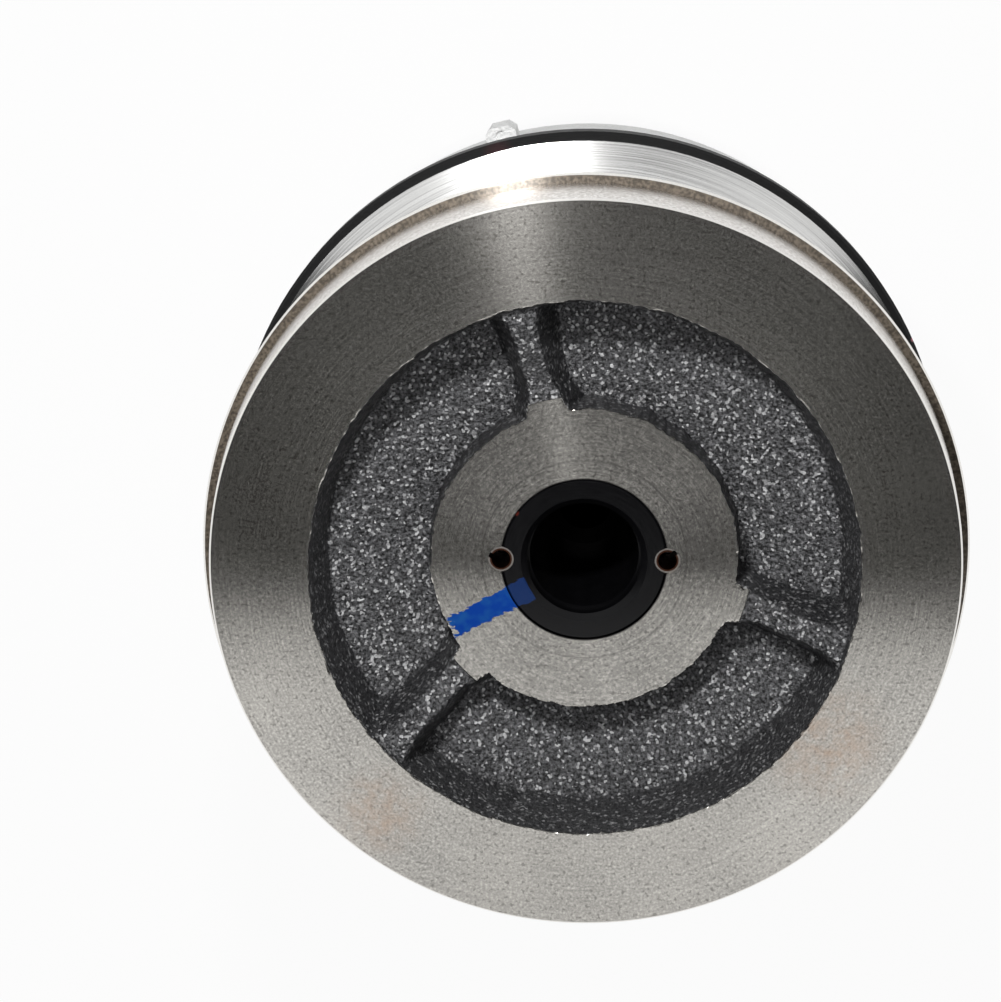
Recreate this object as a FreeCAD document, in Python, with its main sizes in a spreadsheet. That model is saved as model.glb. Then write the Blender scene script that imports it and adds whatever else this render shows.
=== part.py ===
import FreeCAD, Part
import Sketcher
import math
import os
import re

# Drive clutch of a belt variator, in millimetres.
# The axis of the post is Z. The flat end of the cover lies on z = 0 and the machined ring of the
# fixed sheave faces +Z. The clutch is drawn open, with its return spring holding the sheaves apart.

os.makedirs("parts", exist_ok=True)
document = FreeCAD.newDocument("drive_clutch")
vector = FreeCAD.Vector
UP = vector(0, 0, 1)

SIZES = {
    # how far a cut runs past what it cuts
    "cut_margin": 2,
    "hole_margin": 1,
    # sheaves
    "sheave_radius": 95.25,
    "face_angle": 15,
    "groove_width": 69,
    "groove_floor_radius": 26,
    "moving_rim_height": 83.4,
    # fixed sheave
    "rim_drop": 17.6,
    "rim_edge": 0.8,
    "shoulder_step": 2.45,
    "shoulder_drop": 16.2,
    "ring_step": 3.95,
    "ring_edge": 0.5,
    "recess_radius": 67.1,
    "recess_draft": 6.5,
    "recess_fillet": 7,
    "fixed_web": 8.5,
    "hub_drop": 13,
    "hub_radius": 38.1,
    "hub_draft": 3,
    "hub_fillet": 2.5,
    "rib_count": 3,
    "rib_angle": 104,
    "rib_width": 6.8,
    "rib_ear": 3.4,
    "rib_waist": 4,
    "rib_lift": 0.6,
    "rib_flare": 4,
    "rib_draft": 0.28,
    "rib_bevel": 0.8,
    "rib_rim_drop": 1.6,
    "rib_dip": 1,
    "rib_root_sink": 3,
    "rib_rim_sink": 1,
    # post
    "post_head_radius": 20.6,
    "post_head_edge": 0.6,
    "post_radius": 17.5,
    "post_mouth_radius": 15.7,
    "post_mouth_chamfer": 1.5,
    "taper_relief_depth": 6,
    "taper_large_radius": 13.6,
    "taper_small_radius": 11.1,
    "taper_length": 50,
    "bolt_bore_radius": 7,
    "spider_seat_radius": 15,
    "post_end_radius": 13,
    "post_end_height": 3,
    "post_end_chamfer": 1,
    # spring pins between post and hub
    "pin_radius": 3.175,
    "pin_wall": 0.85,
    "pin_slot": 1.3,
    "pin_length": 14,
    "pin_sink": 0.3,
    "pin_turn": 35,
    # idle bearing
    "thrust_washer": 1,
    "thrust_washer_step": 0.8,
    "bearing_length": 28,
    "bearing_inner_wall": 2.1,
    "bearing_outer_wall": 2.68,
    "needle_radius": 1.2,
    "needle_clearance": 0.06,
    "needle_count": 20,
    "needle_end_gap": 2,
    "bearing_side_gap": 0.15,
    "snap_ring_thickness": 1.5,
    "snap_ring_depth": 0.9,
    "snap_ring_stand": 3.1,
    "snap_ring_gap": 9,
    # movable sheave
    "sheave_travel": 22,
    "travel_clearance": 2,
    "moving_web": 8,
    "moving_rim_edge": 1,
    "moving_hub_radius": 29.5,
    "moving_hub_root": 37,
    "moving_hub_fillet": 4,
    "hub_gap": 1.4,
    "bushing_wall": 3,
    "running_clearance": 0.05,
    "flange_thickness": 6.7,
    "flange_flare": 1.8,
    "tower_inward": 11.5,
    "tower_outward": 8.5,
    "tower_width": 9,
    # black ring behind the rim of the movable sheave
    "dust_ring_overlap": 2.25,
    "dust_ring_width": 4.6,
    "dust_ring_height": 8.2,
    "dust_ring_edge": 0.8,
    # cover
    "cover_step": 1.15,
    "cover_wall": 3.5,
    "cover_plate": 4,
    "shoulder_height": 22,
    "shoulder_fillet": 5,
    "shoulder_width": 22.1,
    "dome_draft": 5,
    "dome_edge": 2.5,
    "cover_boss_radius": 20,
    "cover_boss_height": 13.5,
    "cover_bushing_wall": 2.4,
    "cover_bushing_sink": 1,
    "lug_reach": 6.7,
    "lug_width": 8.4,
    "lug_corner": 1.8,
    "lug_hollow_radius": 1.3,
    "lug_hollow_depth": 0.8,
    "lug_hollow_setback": 2.4,
    "lug_length": 15,
    "lug_gap": 0.2,
    "lug_web_width": 7.8,
    # cover screws
    "screw_radius": 3,
    "screw_grip": 14,
    "screw_head_radius": 5,
    "screw_head_height": 4,
    "screw_socket": 4,
    "screw_socket_depth": 2.2,
    "screw_offset": 0.5,
    # spider
    "spider_hub_radius": 33,
    "spider_collar_radius": 23,
    "spider_collar": 4,
    "spider_hub_edge": 2,
    "spider_hub_rise": 0.5,
    "arm_height": 10.5,
    "arm_width": 18,
    "arm_setback": 1,
    "arm_overlap": 4,
    "arm_edge": 1.2,
    "slot_width": 9.6,
    "slot_inner": 34,
    "slot_floor_rise": 4,
    "roller_well": 1.5,
    "nut_height": 8,
    "nut_radius": 22.6,
    # drive buttons
    "button_radius": 4.2,
    "button_stem_radius": 2,
    "button_stem": 3,
    "button_height": 2.1,
    "button_clearance": 0.3,
    "button_setback": 3.7,
    "button_edge": 0.4,
    # flyweights and rollers
    "pivot_setback": 17.75,
    "pivot_drop": 7.75,
    "pivot_pin_radius": 3,
    "pin_fit": 0.05,
    "weight_boss_radius": 6.8,
    "weight_side_gap": 0.4,
    "weight_thickness": 8,
    "weight_radius": 12.3,
    "weight_clearance": 5.15,
    "weight_droop": 0.83,
    "weight_neck": 4.6,
    "weight_neck_step": 1,
    "roller_inward": 17,
    "roller_below": 15,
    "roller_radius": 7,
    "roller_width": 9,
    "roller_pin_radius": 3,
    # return spring
    "spring_radius": 28,
    "spring_wire_radius": 2.1,
    "spring_turns": 5,
    "spring_turn_steps": 14,
    "spring_wire_sides": 6,
    "spring_washer": 1,
    "spring_washer_inner": 22,
    "spring_washer_outer": 33,
}

sheet = document.addObject("Spreadsheet::Sheet", "sizes")
for row, (alias, number) in enumerate(SIZES.items(), start=1):
    sheet.set(f"A{row}", alias)
    sheet.set(f"B{row}", str(number))
    sheet.setAlias(f"B{row}", alias)
document.recompute()


def formula(text):
    """The text with every size's name pointed at its cell in the sheet."""
    return re.sub(r"[a-z_]+", lambda word: "sizes." + word[0] if word[0] in SIZES else word[0], str(text))


def bind(thing, **properties):
    """Bind properties of a document object to formulas of the sizes."""
    for name, text in properties.items():
        thing.setExpression(name.replace("__", "."), formula(text))


# Heights along the axis, from the cover's end at z = 0 up to the ring of the fixed sheave.
FIXED_RIM = "(moving_rim_height + groove_width)"
RING_FACE = f"({FIXED_RIM} + rim_drop)"
HUB_FACE = f"({RING_FACE} - hub_drop)"

# Radii that follow the sheave, the post or the pivot.
SHOULDER_RADIUS = "(sheave_radius - shoulder_step)"
RING_RADIUS = "(sheave_radius - ring_step)"
DUST_RING_INSIDE = "(sheave_radius - dust_ring_overlap)"
DUST_RING_OUTSIDE = f"({DUST_RING_INSIDE} + dust_ring_width)"
FLANGE_INSIDE = f"({DUST_RING_INSIDE} - flange_thickness)"
FLANGE_ROOT = f"({FLANGE_INSIDE} - flange_flare)"
COVER_RADIUS = "(sheave_radius - cover_step)"
COVER_INSIDE = f"({COVER_RADIUS} - cover_wall)"
DOME_BASE = f"({COVER_RADIUS} - shoulder_width)"
DOME_END = f"({DOME_BASE} - dome_draft)"
LUG_ROOT = f"({COVER_RADIUS} - cover_wall / 2)"
LUG_END = f"({COVER_RADIUS} + lug_reach)"
PIVOT_RADIUS = "(sheave_radius - pivot_setback)"
ARM_REACH = f"({PIVOT_RADIUS} - arm_setback)"
TOWER_INNER = f"({PIVOT_RADIUS} - tower_inward)"
TOWER_OUTER = f"({PIVOT_RADIUS} + tower_outward)"
SCREW_REACH = f"({PIVOT_RADIUS} + screw_offset)"
SNAP_RING_OUTSIDE = "(post_radius + snap_ring_stand)"
BEARING_INSIDE = "(post_radius + bearing_inner_wall)"
NEEDLE_PITCH = f"({BEARING_INSIDE} + needle_clearance + needle_radius)"
NEEDLE_OUTSIDE = f"({NEEDLE_PITCH} + needle_radius + needle_clearance)"
BEARING_OUTSIDE = f"({NEEDLE_OUTSIDE} + bearing_outer_wall)"
THRUST_WASHER_OUTSIDE = f"({BEARING_OUTSIDE} - thrust_washer_step)"


def fixed_belt_face(radius):
    return f"({FIXED_RIM} - (sheave_radius - ({radius})) * tan(face_angle))"


def moving_belt_face(radius):
    return f"(moving_rim_height + (sheave_radius - ({radius})) * tan(face_angle))"


def recess_floor(radius):
    return f"({fixed_belt_face(radius)} + fixed_web)"


def moving_back(radius):
    return f"({moving_belt_face(radius)} - moving_web)"


GROOVE_TOP = fixed_belt_face("groove_floor_radius")
BEARING_TOP = f"({GROOVE_TOP} - thrust_washer)"
BEARING_BASE = f"({BEARING_TOP} - bearing_length)"
SNAP_RING_TOP = f"({BEARING_BASE} - thrust_washer)"
SNAP_RING_BASE = f"({SNAP_RING_TOP} - snap_ring_thickness)"
BUSHING_TOP = f"({SNAP_RING_BASE} - sheave_travel - travel_clearance)"
PIVOT_HEIGHT = f"({moving_back(PIVOT_RADIUS)} - pivot_drop)"
ROLLER_HEIGHT = f"({PIVOT_HEIGHT} - roller_below)"
ROLLER_PITCH = f"({PIVOT_RADIUS} - roller_inward)"
ARM_BASE = f"({ROLLER_HEIGHT} - roller_radius)"
SPIDER_TOP = f"({ARM_BASE} + arm_height + spider_hub_rise)"
SPIDER_BASE = f"({ARM_BASE} - spider_collar)"
NUT_BASE = f"({SPIDER_BASE} - nut_height)"
MOVING_HUB_BASE = f"({SPIDER_TOP} + hub_gap)"
FLANGE_BASE = "(moving_rim_height - moving_rim_edge - dust_ring_height)"
TOWER_BASE = "(shoulder_height + cover_plate)"
TOWER_INSIDE = "(arm_width / 2 + button_height + button_clearance)"
BUSHING_RADIUS = "(post_radius + running_clearance + bushing_wall)"
COVER_BUSHING_RADIUS = "(post_end_radius + running_clearance + cover_bushing_wall)"


def new_body(name):
    body = document.addObject("PartDesign::Body", name)
    body.Label = name
    return body


def new_sketch(body, name, plane="XZ_Plane", turn=None, lift=None):
    """A sketch on one of the body's own planes, turned about the axis or lifted off the plane."""
    sketch = body.newObject("Sketcher::SketchObject", name)
    support = [origin for origin in body.Origin.OriginFeatures if origin.Role == plane][0]
    sketch.AttachmentSupport = (support, [""])
    sketch.MapMode = "FlatFace"
    if turn is not None:
        sketch.AttachmentOffset = FreeCAD.Placement(vector(0, 0, 0), FreeCAD.Rotation(vector(0, 1, 0), 1))
        bind(sketch, AttachmentOffset__Rotation__Angle=turn)
    if lift is not None:
        bind(sketch, AttachmentOffset__Base__z=lift)
    return sketch


def place_point(sketch, line, point, across, along):
    """Hold one point of the sketch at its two formulas."""
    for kind, text, axis in (("DistanceX", across, -2), ("DistanceY", along, -1)):
        if text == "0":
            sketch.addConstraint(Sketcher.Constraint("PointOnObject", line, point, axis))
            continue
        index = sketch.addConstraint(Sketcher.Constraint(kind, -1, 1, line, point, 10.0 + line))
        sketch.setExpression(f"Constraints[{index}]", formula(text))


def draw_outline(sketch, corners):
    """A closed outline of straight lines through corners given as pairs of formulas."""
    count = len(corners)
    starts = [vector(10 + index, 10 + index * index, 0) for index in range(count)]
    for index in range(count):
        sketch.addGeometry(Part.LineSegment(starts[index], starts[(index + 1) % count]), False)
    for index in range(count):
        sketch.addConstraint(Sketcher.Constraint("Coincident", index, 2, (index + 1) % count, 1))
    for index, (across, along) in enumerate(corners):
        place_point(sketch, index, 1, str(across), str(along))


def draw_circle(sketch, across, along, radius):
    index = sketch.addGeometry(Part.Circle(vector(10, 10, 0), vector(0, 0, 1), 5), False)
    place_point(sketch, index, 3, str(across), str(along))
    size = sketch.addConstraint(Sketcher.Constraint("Radius", index, 5.0))
    sketch.setExpression(f"Constraints[{size}]", formula(radius))


def draw_circle_pair(sketch, across, along, radius):
    """Two equal circles, mirrored about the sketch's level axis."""
    draw_circle(sketch, across, along, radius)
    twin = sketch.addGeometry(Part.Circle(vector(10, -10, 0), vector(0, 0, 1), 5), False)
    sketch.addConstraint(Sketcher.Constraint("Symmetric", twin - 1, 3, twin, 3, -1))
    sketch.addConstraint(Sketcher.Constraint("Equal", twin - 1, twin))


def revolve(body, name, corners, cut=False):
    """Turn a closed outline of radius and height pairs about the axis."""
    sketch = new_sketch(body, name + "_sketch")
    draw_outline(sketch, corners)
    kind = "PartDesign::Groove" if cut else "PartDesign::Revolution"
    turned = body.newObject(kind, name)
    turned.Profile = sketch
    turned.ReferenceAxis = (sketch, ["V_Axis"])
    turned.Angle = 360
    return turned


def pad(body, name, sketch, length, both_ways=False, cut=False, backward=False):
    """Pad or pocket a sketch, both ways from its plane or to one side."""
    feature = body.newObject("PartDesign::Pocket" if cut else "PartDesign::Pad", name)
    feature.Profile = sketch
    feature.Type = 0
    if both_ways:
        feature.Midplane = True
    feature.Reversed = backward
    bind(feature, Length=length)
    return feature


def polar(body, name, features, count, angle=360):
    pattern = body.newObject("PartDesign::PolarPattern", name)
    pattern.Originals = features
    axis = [origin for origin in body.Origin.OriginFeatures if origin.Role == "Z_Axis"][0]
    pattern.Axis = (axis, [""])
    pattern.Angle = angle
    bind(pattern, Occurrences=count)
    body.Tip = pattern
    return pattern


def round_edges(body, name, base, wanted, radius, kind="PartDesign::Fillet"):
    """Fillet or chamfer the edges of base that the test picks out."""
    document.recompute()
    edges = [f"Edge{number}" for number, edge in enumerate(base.Shape.Edges, start=1) if wanted(edge)]
    if not edges:
        raise ValueError(f"no edge found for {name}")
    feature = body.newObject(kind, name)
    feature.Base = (base, edges)
    bind(feature, **{"Radius" if kind.endswith("Fillet") else "Size": radius})
    body.Tip = feature
    return feature


def ring_at(radius, height, slack=0.02):
    """A test for the full circles about the axis at one radius and height."""
    def test(edge):
        curve = edge.Curve
        if not isinstance(curve, Part.Circle) or abs(abs(curve.Axis.z) - 1) > 1e-6:
            return False
        middle = curve.Center
        on_axis = abs(middle.x) < slack and abs(middle.y) < slack
        return on_axis and abs(curve.Radius - radius) < slack and abs(middle.z - height) < slack
    return test


def number(text):
    """The present value of a formula, read back through a spare cell of the sheet."""
    sheet.set("E1", "=" + formula(text).replace("sizes.", ""))
    sheet.recompute()
    value = sheet.get("E1")
    sheet.clear("E1")
    return float(value)


def tube(name, outer, inner, base, height):
    """A plain ring about the axis, as a body of one revolution."""
    body = new_body(name)
    top = f"({base} + {height})"
    corners = [(inner, base), (outer, base), (outer, top), (inner, top)]
    revolve(body, name + "_turn", corners)
    return body


def turn_body(body, angle):
    """Turn a whole piece about the axis of the clutch."""
    body.Placement = FreeCAD.Placement(vector(0, 0, 0), FreeCAD.Rotation(UP, 1))
    bind(body, Placement__Rotation__Angle=angle)


def group(name, pieces):
    """Several separate solids that share one node."""
    compound = document.addObject("Part::Compound", name)
    compound.Label = name
    compound.Links = pieces
    return compound


SECTORS = (0, 1, 2)


def sector_angle(sector):
    return f"(rib_angle + {sector} * 360 / rib_count)"


nodes = []

# Fixed sheave: iron casting with a machined ring, a rough recess, three ribs and a machined hub.
fixed_sheave = new_body("fixed_sheave")
FOOT_RADIUS = "(recess_radius - recess_draft)"
HUB_FOOT = "(hub_radius + hub_draft)"
fixed_turn = revolve(fixed_sheave, "fixed_turn", [
    ("post_head_radius", HUB_FACE),
    ("hub_radius", HUB_FACE),
    (HUB_FOOT, recess_floor(HUB_FOOT)),
    (FOOT_RADIUS, recess_floor(FOOT_RADIUS)),
    ("recess_radius", RING_FACE),
    (RING_RADIUS, RING_FACE),
    (SHOULDER_RADIUS, f"({RING_FACE} - shoulder_drop)"),
    ("sheave_radius", f"({FIXED_RIM} + rim_edge)"),
    ("sheave_radius", FIXED_RIM),
    ("groove_floor_radius", GROOVE_TOP),
    ("post_head_radius", GROOVE_TOP),
])
foot_edge = ring_at(number(FOOT_RADIUS), number(recess_floor(FOOT_RADIUS)))
foot_round = round_edges(fixed_sheave, "foot_round", fixed_turn, foot_edge, "recess_fillet")
hub_edge = ring_at(number(HUB_FOOT), number(recess_floor(HUB_FOOT)))
hub_round = round_edges(fixed_sheave, "hub_round", foot_round, hub_edge, "hub_fillet")
ring_edge = ring_at(number(RING_RADIUS), number(RING_FACE))
ring_bevel = round_edges(fixed_sheave, "ring_bevel", hub_round, ring_edge, "ring_edge", "PartDesign::Chamfer")


def rib_section(name, reach, height, width):
    """One cross-section of a rib: drafted flanks, bevelled top, foot sunk in the web."""
    sketch = new_sketch(fixed_sheave, name, "YZ_Plane")
    sketch.AttachmentOffset = FreeCAD.Placement(vector(0, 0, 0), FreeCAD.Rotation(vector(0, 1, 0), 1))
    bind(sketch, AttachmentOffset__Rotation__Angle="rib_angle",
         AttachmentOffset__Base__x=f"{reach} * sin(rib_angle)",
         AttachmentOffset__Base__z=f"{reach} * cos(rib_angle)")
    foot = f"({fixed_belt_face(reach)} + fixed_web / 2)"
    half = f"({width} / 2)"
    foot_half = f"({half} + rib_draft * ({height} - {foot}))"
    draw_outline(sketch, [
        (f"(0 - {foot_half})", foot),
        (foot_half, foot),
        (f"({half} + rib_bevel * rib_draft)", f"({height} - rib_bevel)"),
        (f"({half} - rib_bevel)", height),
        (f"(rib_bevel - {half})", height),
        (f"(0 - {half} - rib_bevel * rib_draft)", f"({height} - rib_bevel)"),
    ])
    return sketch


EAR_REACH = "(hub_radius + rib_ear)"
WAIST_REACH = "(hub_radius + rib_ear + rib_waist)"
RIB_RIM = "(recess_radius - rib_waist)"
RIB_OUTSIDE = "(recess_radius + rib_rim_sink)"
rib_sections = [
    rib_section("rib_root", "(hub_radius - rib_root_sink)", HUB_FACE, "(rib_width + rib_flare)"),
    rib_section("rib_ear_end", EAR_REACH, HUB_FACE, "(rib_width + rib_flare / 2)"),
    rib_section("rib_waist", WAIST_REACH, f"({HUB_FACE} + rib_lift)", "rib_width"),
    rib_section("rib_shoulder", RIB_RIM, f"({RING_FACE} - rib_rim_drop - rib_dip)", "rib_width"),
    rib_section("rib_rim", RIB_OUTSIDE, f"({RING_FACE} - rib_rim_drop)", "(rib_width + rib_flare)"),
]
rib = fixed_sheave.newObject("PartDesign::AdditiveLoft", "rib")
rib.Profile = rib_sections[0]
rib.Sections = rib_sections[1:]
rib.Ruled = True
ribs = polar(fixed_sheave, "ribs", [rib], "rib_count")

pin_holes_sketch = new_sketch(fixed_sheave, "pin_holes_sketch", "XY_Plane", lift=HUB_FACE)
draw_circle(pin_holes_sketch, "post_head_radius", "0", "pin_radius")
pin_hole = pad(fixed_sheave, "pin_hole", pin_holes_sketch, "(pin_length + hole_margin)", cut=True)
polar(fixed_sheave, "pin_holes", [pin_hole], "2")
nodes.append(fixed_sheave)

# Post: the shaft of the clutch, with the crankshaft's taper bored in its head.
post = new_body("post")
TAPER_TOP = f"({HUB_FACE} - taper_relief_depth)"
TAPER_BASE = f"({TAPER_TOP} - taper_length)"
revolve(post, "post_turn", [
    ("post_mouth_radius", HUB_FACE),
    ("(post_head_radius - post_head_edge)", HUB_FACE),
    ("post_head_radius", f"({HUB_FACE} - post_head_edge)"),
    ("post_head_radius", GROOVE_TOP),
    ("post_radius", GROOVE_TOP),
    ("post_radius", SNAP_RING_TOP),
    ("(post_radius - snap_ring_depth)", SNAP_RING_TOP),
    ("(post_radius - snap_ring_depth)", SNAP_RING_BASE),
    ("post_radius", SNAP_RING_BASE),
    ("post_radius", SPIDER_TOP),
    ("spider_seat_radius", SPIDER_TOP),
    ("spider_seat_radius", NUT_BASE),
    ("post_end_radius", NUT_BASE),
    ("post_end_radius", "(post_end_height + post_end_chamfer)"),
    ("(post_end_radius - post_end_chamfer)", "post_end_height"),
    ("bolt_bore_radius", "post_end_height"),
    ("bolt_bore_radius", TAPER_BASE),
    ("taper_small_radius", TAPER_BASE),
    ("taper_large_radius", TAPER_TOP),
    ("(post_mouth_radius - post_mouth_chamfer)", TAPER_TOP),
    ("(post_mouth_radius - post_mouth_chamfer)", f"({HUB_FACE} - post_mouth_chamfer)"),
])
post_pin_sketch = new_sketch(post, "post_pin_sketch", "XY_Plane", lift=HUB_FACE)
draw_circle(post_pin_sketch, "post_head_radius", "0", "pin_radius")
post_pin_hole = pad(post, "post_pin_hole", post_pin_sketch, "(pin_length + hole_margin)", cut=True)
polar(post, "post_pin_holes", [post_pin_hole], "2")
nodes.append(post)


# Slotted spring pins, half in the hub and half in the post.
def spring_pin(name, side):
    """One rolled pin with its slot turned away from the axis."""
    body = new_body(name)
    sketch = new_sketch(body, name + "_sketch", "XY_Plane")
    draw_circle(sketch, "0", "0", "pin_radius")
    draw_circle(sketch, "0", "0", "(pin_radius - pin_wall)")
    pad(body, name + "_sleeve", sketch, "pin_length")
    slot_sketch = new_sketch(body, name + "_slot_sketch", "XY_Plane")
    draw_outline(slot_sketch, [
        ("0", "0"),
        ("(pin_radius + cut_margin)", "0"),
        ("(pin_radius + cut_margin)", "pin_slot"),
        ("0", "pin_slot"),
    ])
    slot = pad(body, name + "_slot", slot_sketch, "pin_length", cut=True, backward=True)
    body.Tip = slot
    turn = SIZES["pin_turn"] if side > 0 else 180 - SIZES["pin_turn"]
    body.Placement = FreeCAD.Placement(vector(0, 0, 0), FreeCAD.Rotation(UP, turn))
    bind(body, Placement__Base__x=f"({side} * post_head_radius)",
         Placement__Base__z=f"({HUB_FACE} - pin_sink - pin_length)")
    return body


nodes.append(group("roll_pins", [spring_pin("roll_pin_right", 1), spring_pin("roll_pin_left", -1)]))

# Idle bearing between the sheaves, where the belt rests when the engine idles.
nodes.append(tube("thrust_washer_upper", THRUST_WASHER_OUTSIDE, "post_radius", BEARING_TOP, "thrust_washer"))
nodes.append(tube("thrust_washer_lower", THRUST_WASHER_OUTSIDE, "post_radius", SNAP_RING_TOP, "thrust_washer"))
nodes.append(tube("idle_inner_ring", BEARING_INSIDE, "post_radius", BEARING_BASE, "bearing_length"))
nodes.append(tube("idle_outer_ring", BEARING_OUTSIDE, NEEDLE_OUTSIDE,
                  f"({BEARING_BASE} + bearing_side_gap)", "(bearing_length - 2 * bearing_side_gap)"))


def needle(index):
    roller = document.addObject("Part::Cylinder", f"needle_{index}")
    turn = f"({index} * 360 / needle_count)"
    bind(roller, Radius="needle_radius", Height="(bearing_length - 2 * needle_end_gap)",
         Placement__Base__x=f"{NEEDLE_PITCH} * cos({turn})",
         Placement__Base__y=f"{NEEDLE_PITCH} * sin({turn})",
         Placement__Base__z=f"({BEARING_BASE} + needle_end_gap)")
    return roller


nodes.append(group("idle_needles", [needle(index) for index in range(SIZES["needle_count"])]))

# Snap ring in its groove on the post, open on one side.
snap_ring = tube("snap_ring", SNAP_RING_OUTSIDE, "(post_radius - snap_ring_depth)",
                 SNAP_RING_BASE, "snap_ring_thickness")
gap_sketch = new_sketch(snap_ring, "gap_sketch", "XY_Plane", lift=SNAP_RING_BASE)
draw_outline(gap_sketch, [
    ("0", "0"),
    (f"({SNAP_RING_OUTSIDE} + cut_margin)", "0"),
    (f"({SNAP_RING_OUTSIDE} + cut_margin)", "snap_ring_gap"),
    ("0", "snap_ring_gap"),
])
snap_gap = pad(snap_ring, "snap_gap", gap_sketch, "snap_ring_thickness", cut=True, backward=True)
snap_ring.Tip = snap_gap
nodes.append(snap_ring)

# Movable sheave: aluminium casting that slides along the post, with three pairs of towers behind it.
movable_sheave = new_body("movable_sheave")
moving_turn = revolve(movable_sheave, "moving_turn", [
    (BUSHING_RADIUS, MOVING_HUB_BASE),
    ("moving_hub_radius", MOVING_HUB_BASE),
    ("moving_hub_radius", f"({moving_back('moving_hub_root')} - moving_hub_fillet)"),
    ("moving_hub_root", moving_back("moving_hub_root")),
    (FLANGE_ROOT, moving_back(FLANGE_ROOT)),
    (FLANGE_INSIDE, FLANGE_BASE),
    (DUST_RING_INSIDE, FLANGE_BASE),
    (DUST_RING_INSIDE, "(moving_rim_height - moving_rim_edge)"),
    ("sheave_radius", "(moving_rim_height - moving_rim_edge)"),
    ("sheave_radius", "moving_rim_height"),
    ("groove_floor_radius", moving_belt_face("groove_floor_radius")),
    ("groove_floor_radius", BUSHING_TOP),
    (BUSHING_RADIUS, BUSHING_TOP),
])
TOWER_TOP = f"({moving_back(TOWER_OUTER)} + moving_web / 2)"
tower_sketch = new_sketch(movable_sheave, "tower_sketch", "XY_Plane", lift=TOWER_BASE)
draw_outline(tower_sketch, [
    (TOWER_INNER, TOWER_INSIDE),
    (TOWER_OUTER, TOWER_INSIDE),
    (TOWER_OUTER, f"({TOWER_INSIDE} + tower_width)"),
    (TOWER_INNER, f"({TOWER_INSIDE} + tower_width)"),
])
tower = pad(movable_sheave, "tower", tower_sketch, f"({TOWER_TOP} - {TOWER_BASE})")
document.recompute()
mirror_plane = [origin for origin in movable_sheave.Origin.OriginFeatures if origin.Role == "XZ_Plane"][0]

screw_hole_sketch = new_sketch(movable_sheave, "screw_hole_sketch", "XY_Plane", lift=TOWER_BASE)
SCREW_ASIDE = f"({TOWER_INSIDE} + tower_width / 2)"
draw_circle(screw_hole_sketch, SCREW_REACH, SCREW_ASIDE, "screw_radius")
screw_hole = pad(movable_sheave, "screw_hole", screw_hole_sketch, "(screw_grip + hole_margin)", cut=True, backward=True)

pivot_hole_sketch = new_sketch(movable_sheave, "pivot_hole_sketch", "XZ_Plane")
draw_circle(pivot_hole_sketch, PIVOT_RADIUS, PIVOT_HEIGHT, "pivot_pin_radius")
pivot_hole = pad(movable_sheave, "pivot_hole", pivot_hole_sketch, f"({TOWER_INSIDE} + tower_width + cut_margin)",
                 cut=True, backward=False)
towers = movable_sheave.newObject("PartDesign::MultiTransform", "towers")
towers.Originals = [tower, screw_hole, pivot_hole]
mirrored = movable_sheave.newObject("PartDesign::Mirrored", "tower_pair")
mirrored.MirrorPlane = (mirror_plane, [""])
turned = movable_sheave.newObject("PartDesign::PolarPattern", "tower_ring")
turned.Axis = ([origin for origin in movable_sheave.Origin.OriginFeatures if origin.Role == "Z_Axis"][0], [""])
turned.Angle = 360
bind(turned, Occurrences="rib_count")
towers.Transformations = [mirrored, turned]
movable_sheave.Tip = towers
turn_body(movable_sheave, "rib_angle")
nodes.append(movable_sheave)

nodes.append(tube("movable_bushing", BUSHING_RADIUS, "(post_radius + running_clearance)",
                  MOVING_HUB_BASE, f"({BUSHING_TOP} - {MOVING_HUB_BASE})"))

# Black ring that closes the joint between the movable sheave and the cover.
dust_ring = new_body("dust_ring")
RING_TOP = "(moving_rim_height - moving_rim_edge)"
revolve(dust_ring, "dust_turn", [
    (DUST_RING_INSIDE, FLANGE_BASE),
    (f"({DUST_RING_OUTSIDE} - dust_ring_edge)", FLANGE_BASE),
    (DUST_RING_OUTSIDE, f"({FLANGE_BASE} + dust_ring_edge)"),
    (DUST_RING_OUTSIDE, f"({RING_TOP} - dust_ring_edge)"),
    (f"({DUST_RING_OUTSIDE} - dust_ring_edge)", RING_TOP),
    (DUST_RING_INSIDE, RING_TOP),
])
nodes.append(dust_ring)

# Cover: deep cast cap with a stepped end, a bushing boss and three outer lugs.
cover = new_body("cover")
cover_turn = revolve(cover, "cover_turn", [
    (COVER_BUSHING_RADIUS, "0"),
    (DOME_END, "0"),
    (DOME_BASE, "shoulder_height"),
    (COVER_RADIUS, "shoulder_height"),
    (COVER_RADIUS, FLANGE_BASE),
    (COVER_INSIDE, FLANGE_BASE),
    (COVER_INSIDE, TOWER_BASE),
    (f"({DOME_BASE} - cover_plate)", TOWER_BASE),
    (f"({DOME_END} - cover_plate)", "cover_plate"),
    ("cover_boss_radius", "cover_plate"),
    ("cover_boss_radius", "cover_boss_height"),
    (COVER_BUSHING_RADIUS, "cover_boss_height"),
])
shoulder_edge = ring_at(number(COVER_RADIUS), number("shoulder_height"))
shoulder_round = round_edges(cover, "shoulder_round", cover_turn, shoulder_edge, "shoulder_fillet")
dome_edge = ring_at(number(DOME_END), 0)
round_edges(cover, "dome_round", shoulder_round, dome_edge, "dome_edge")
LUG_TOP = f"({FLANGE_BASE} - lug_gap)"
lug_sketch = new_sketch(cover, "lug_sketch", "XY_Plane", lift=f"({LUG_TOP} - lug_length)")
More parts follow.
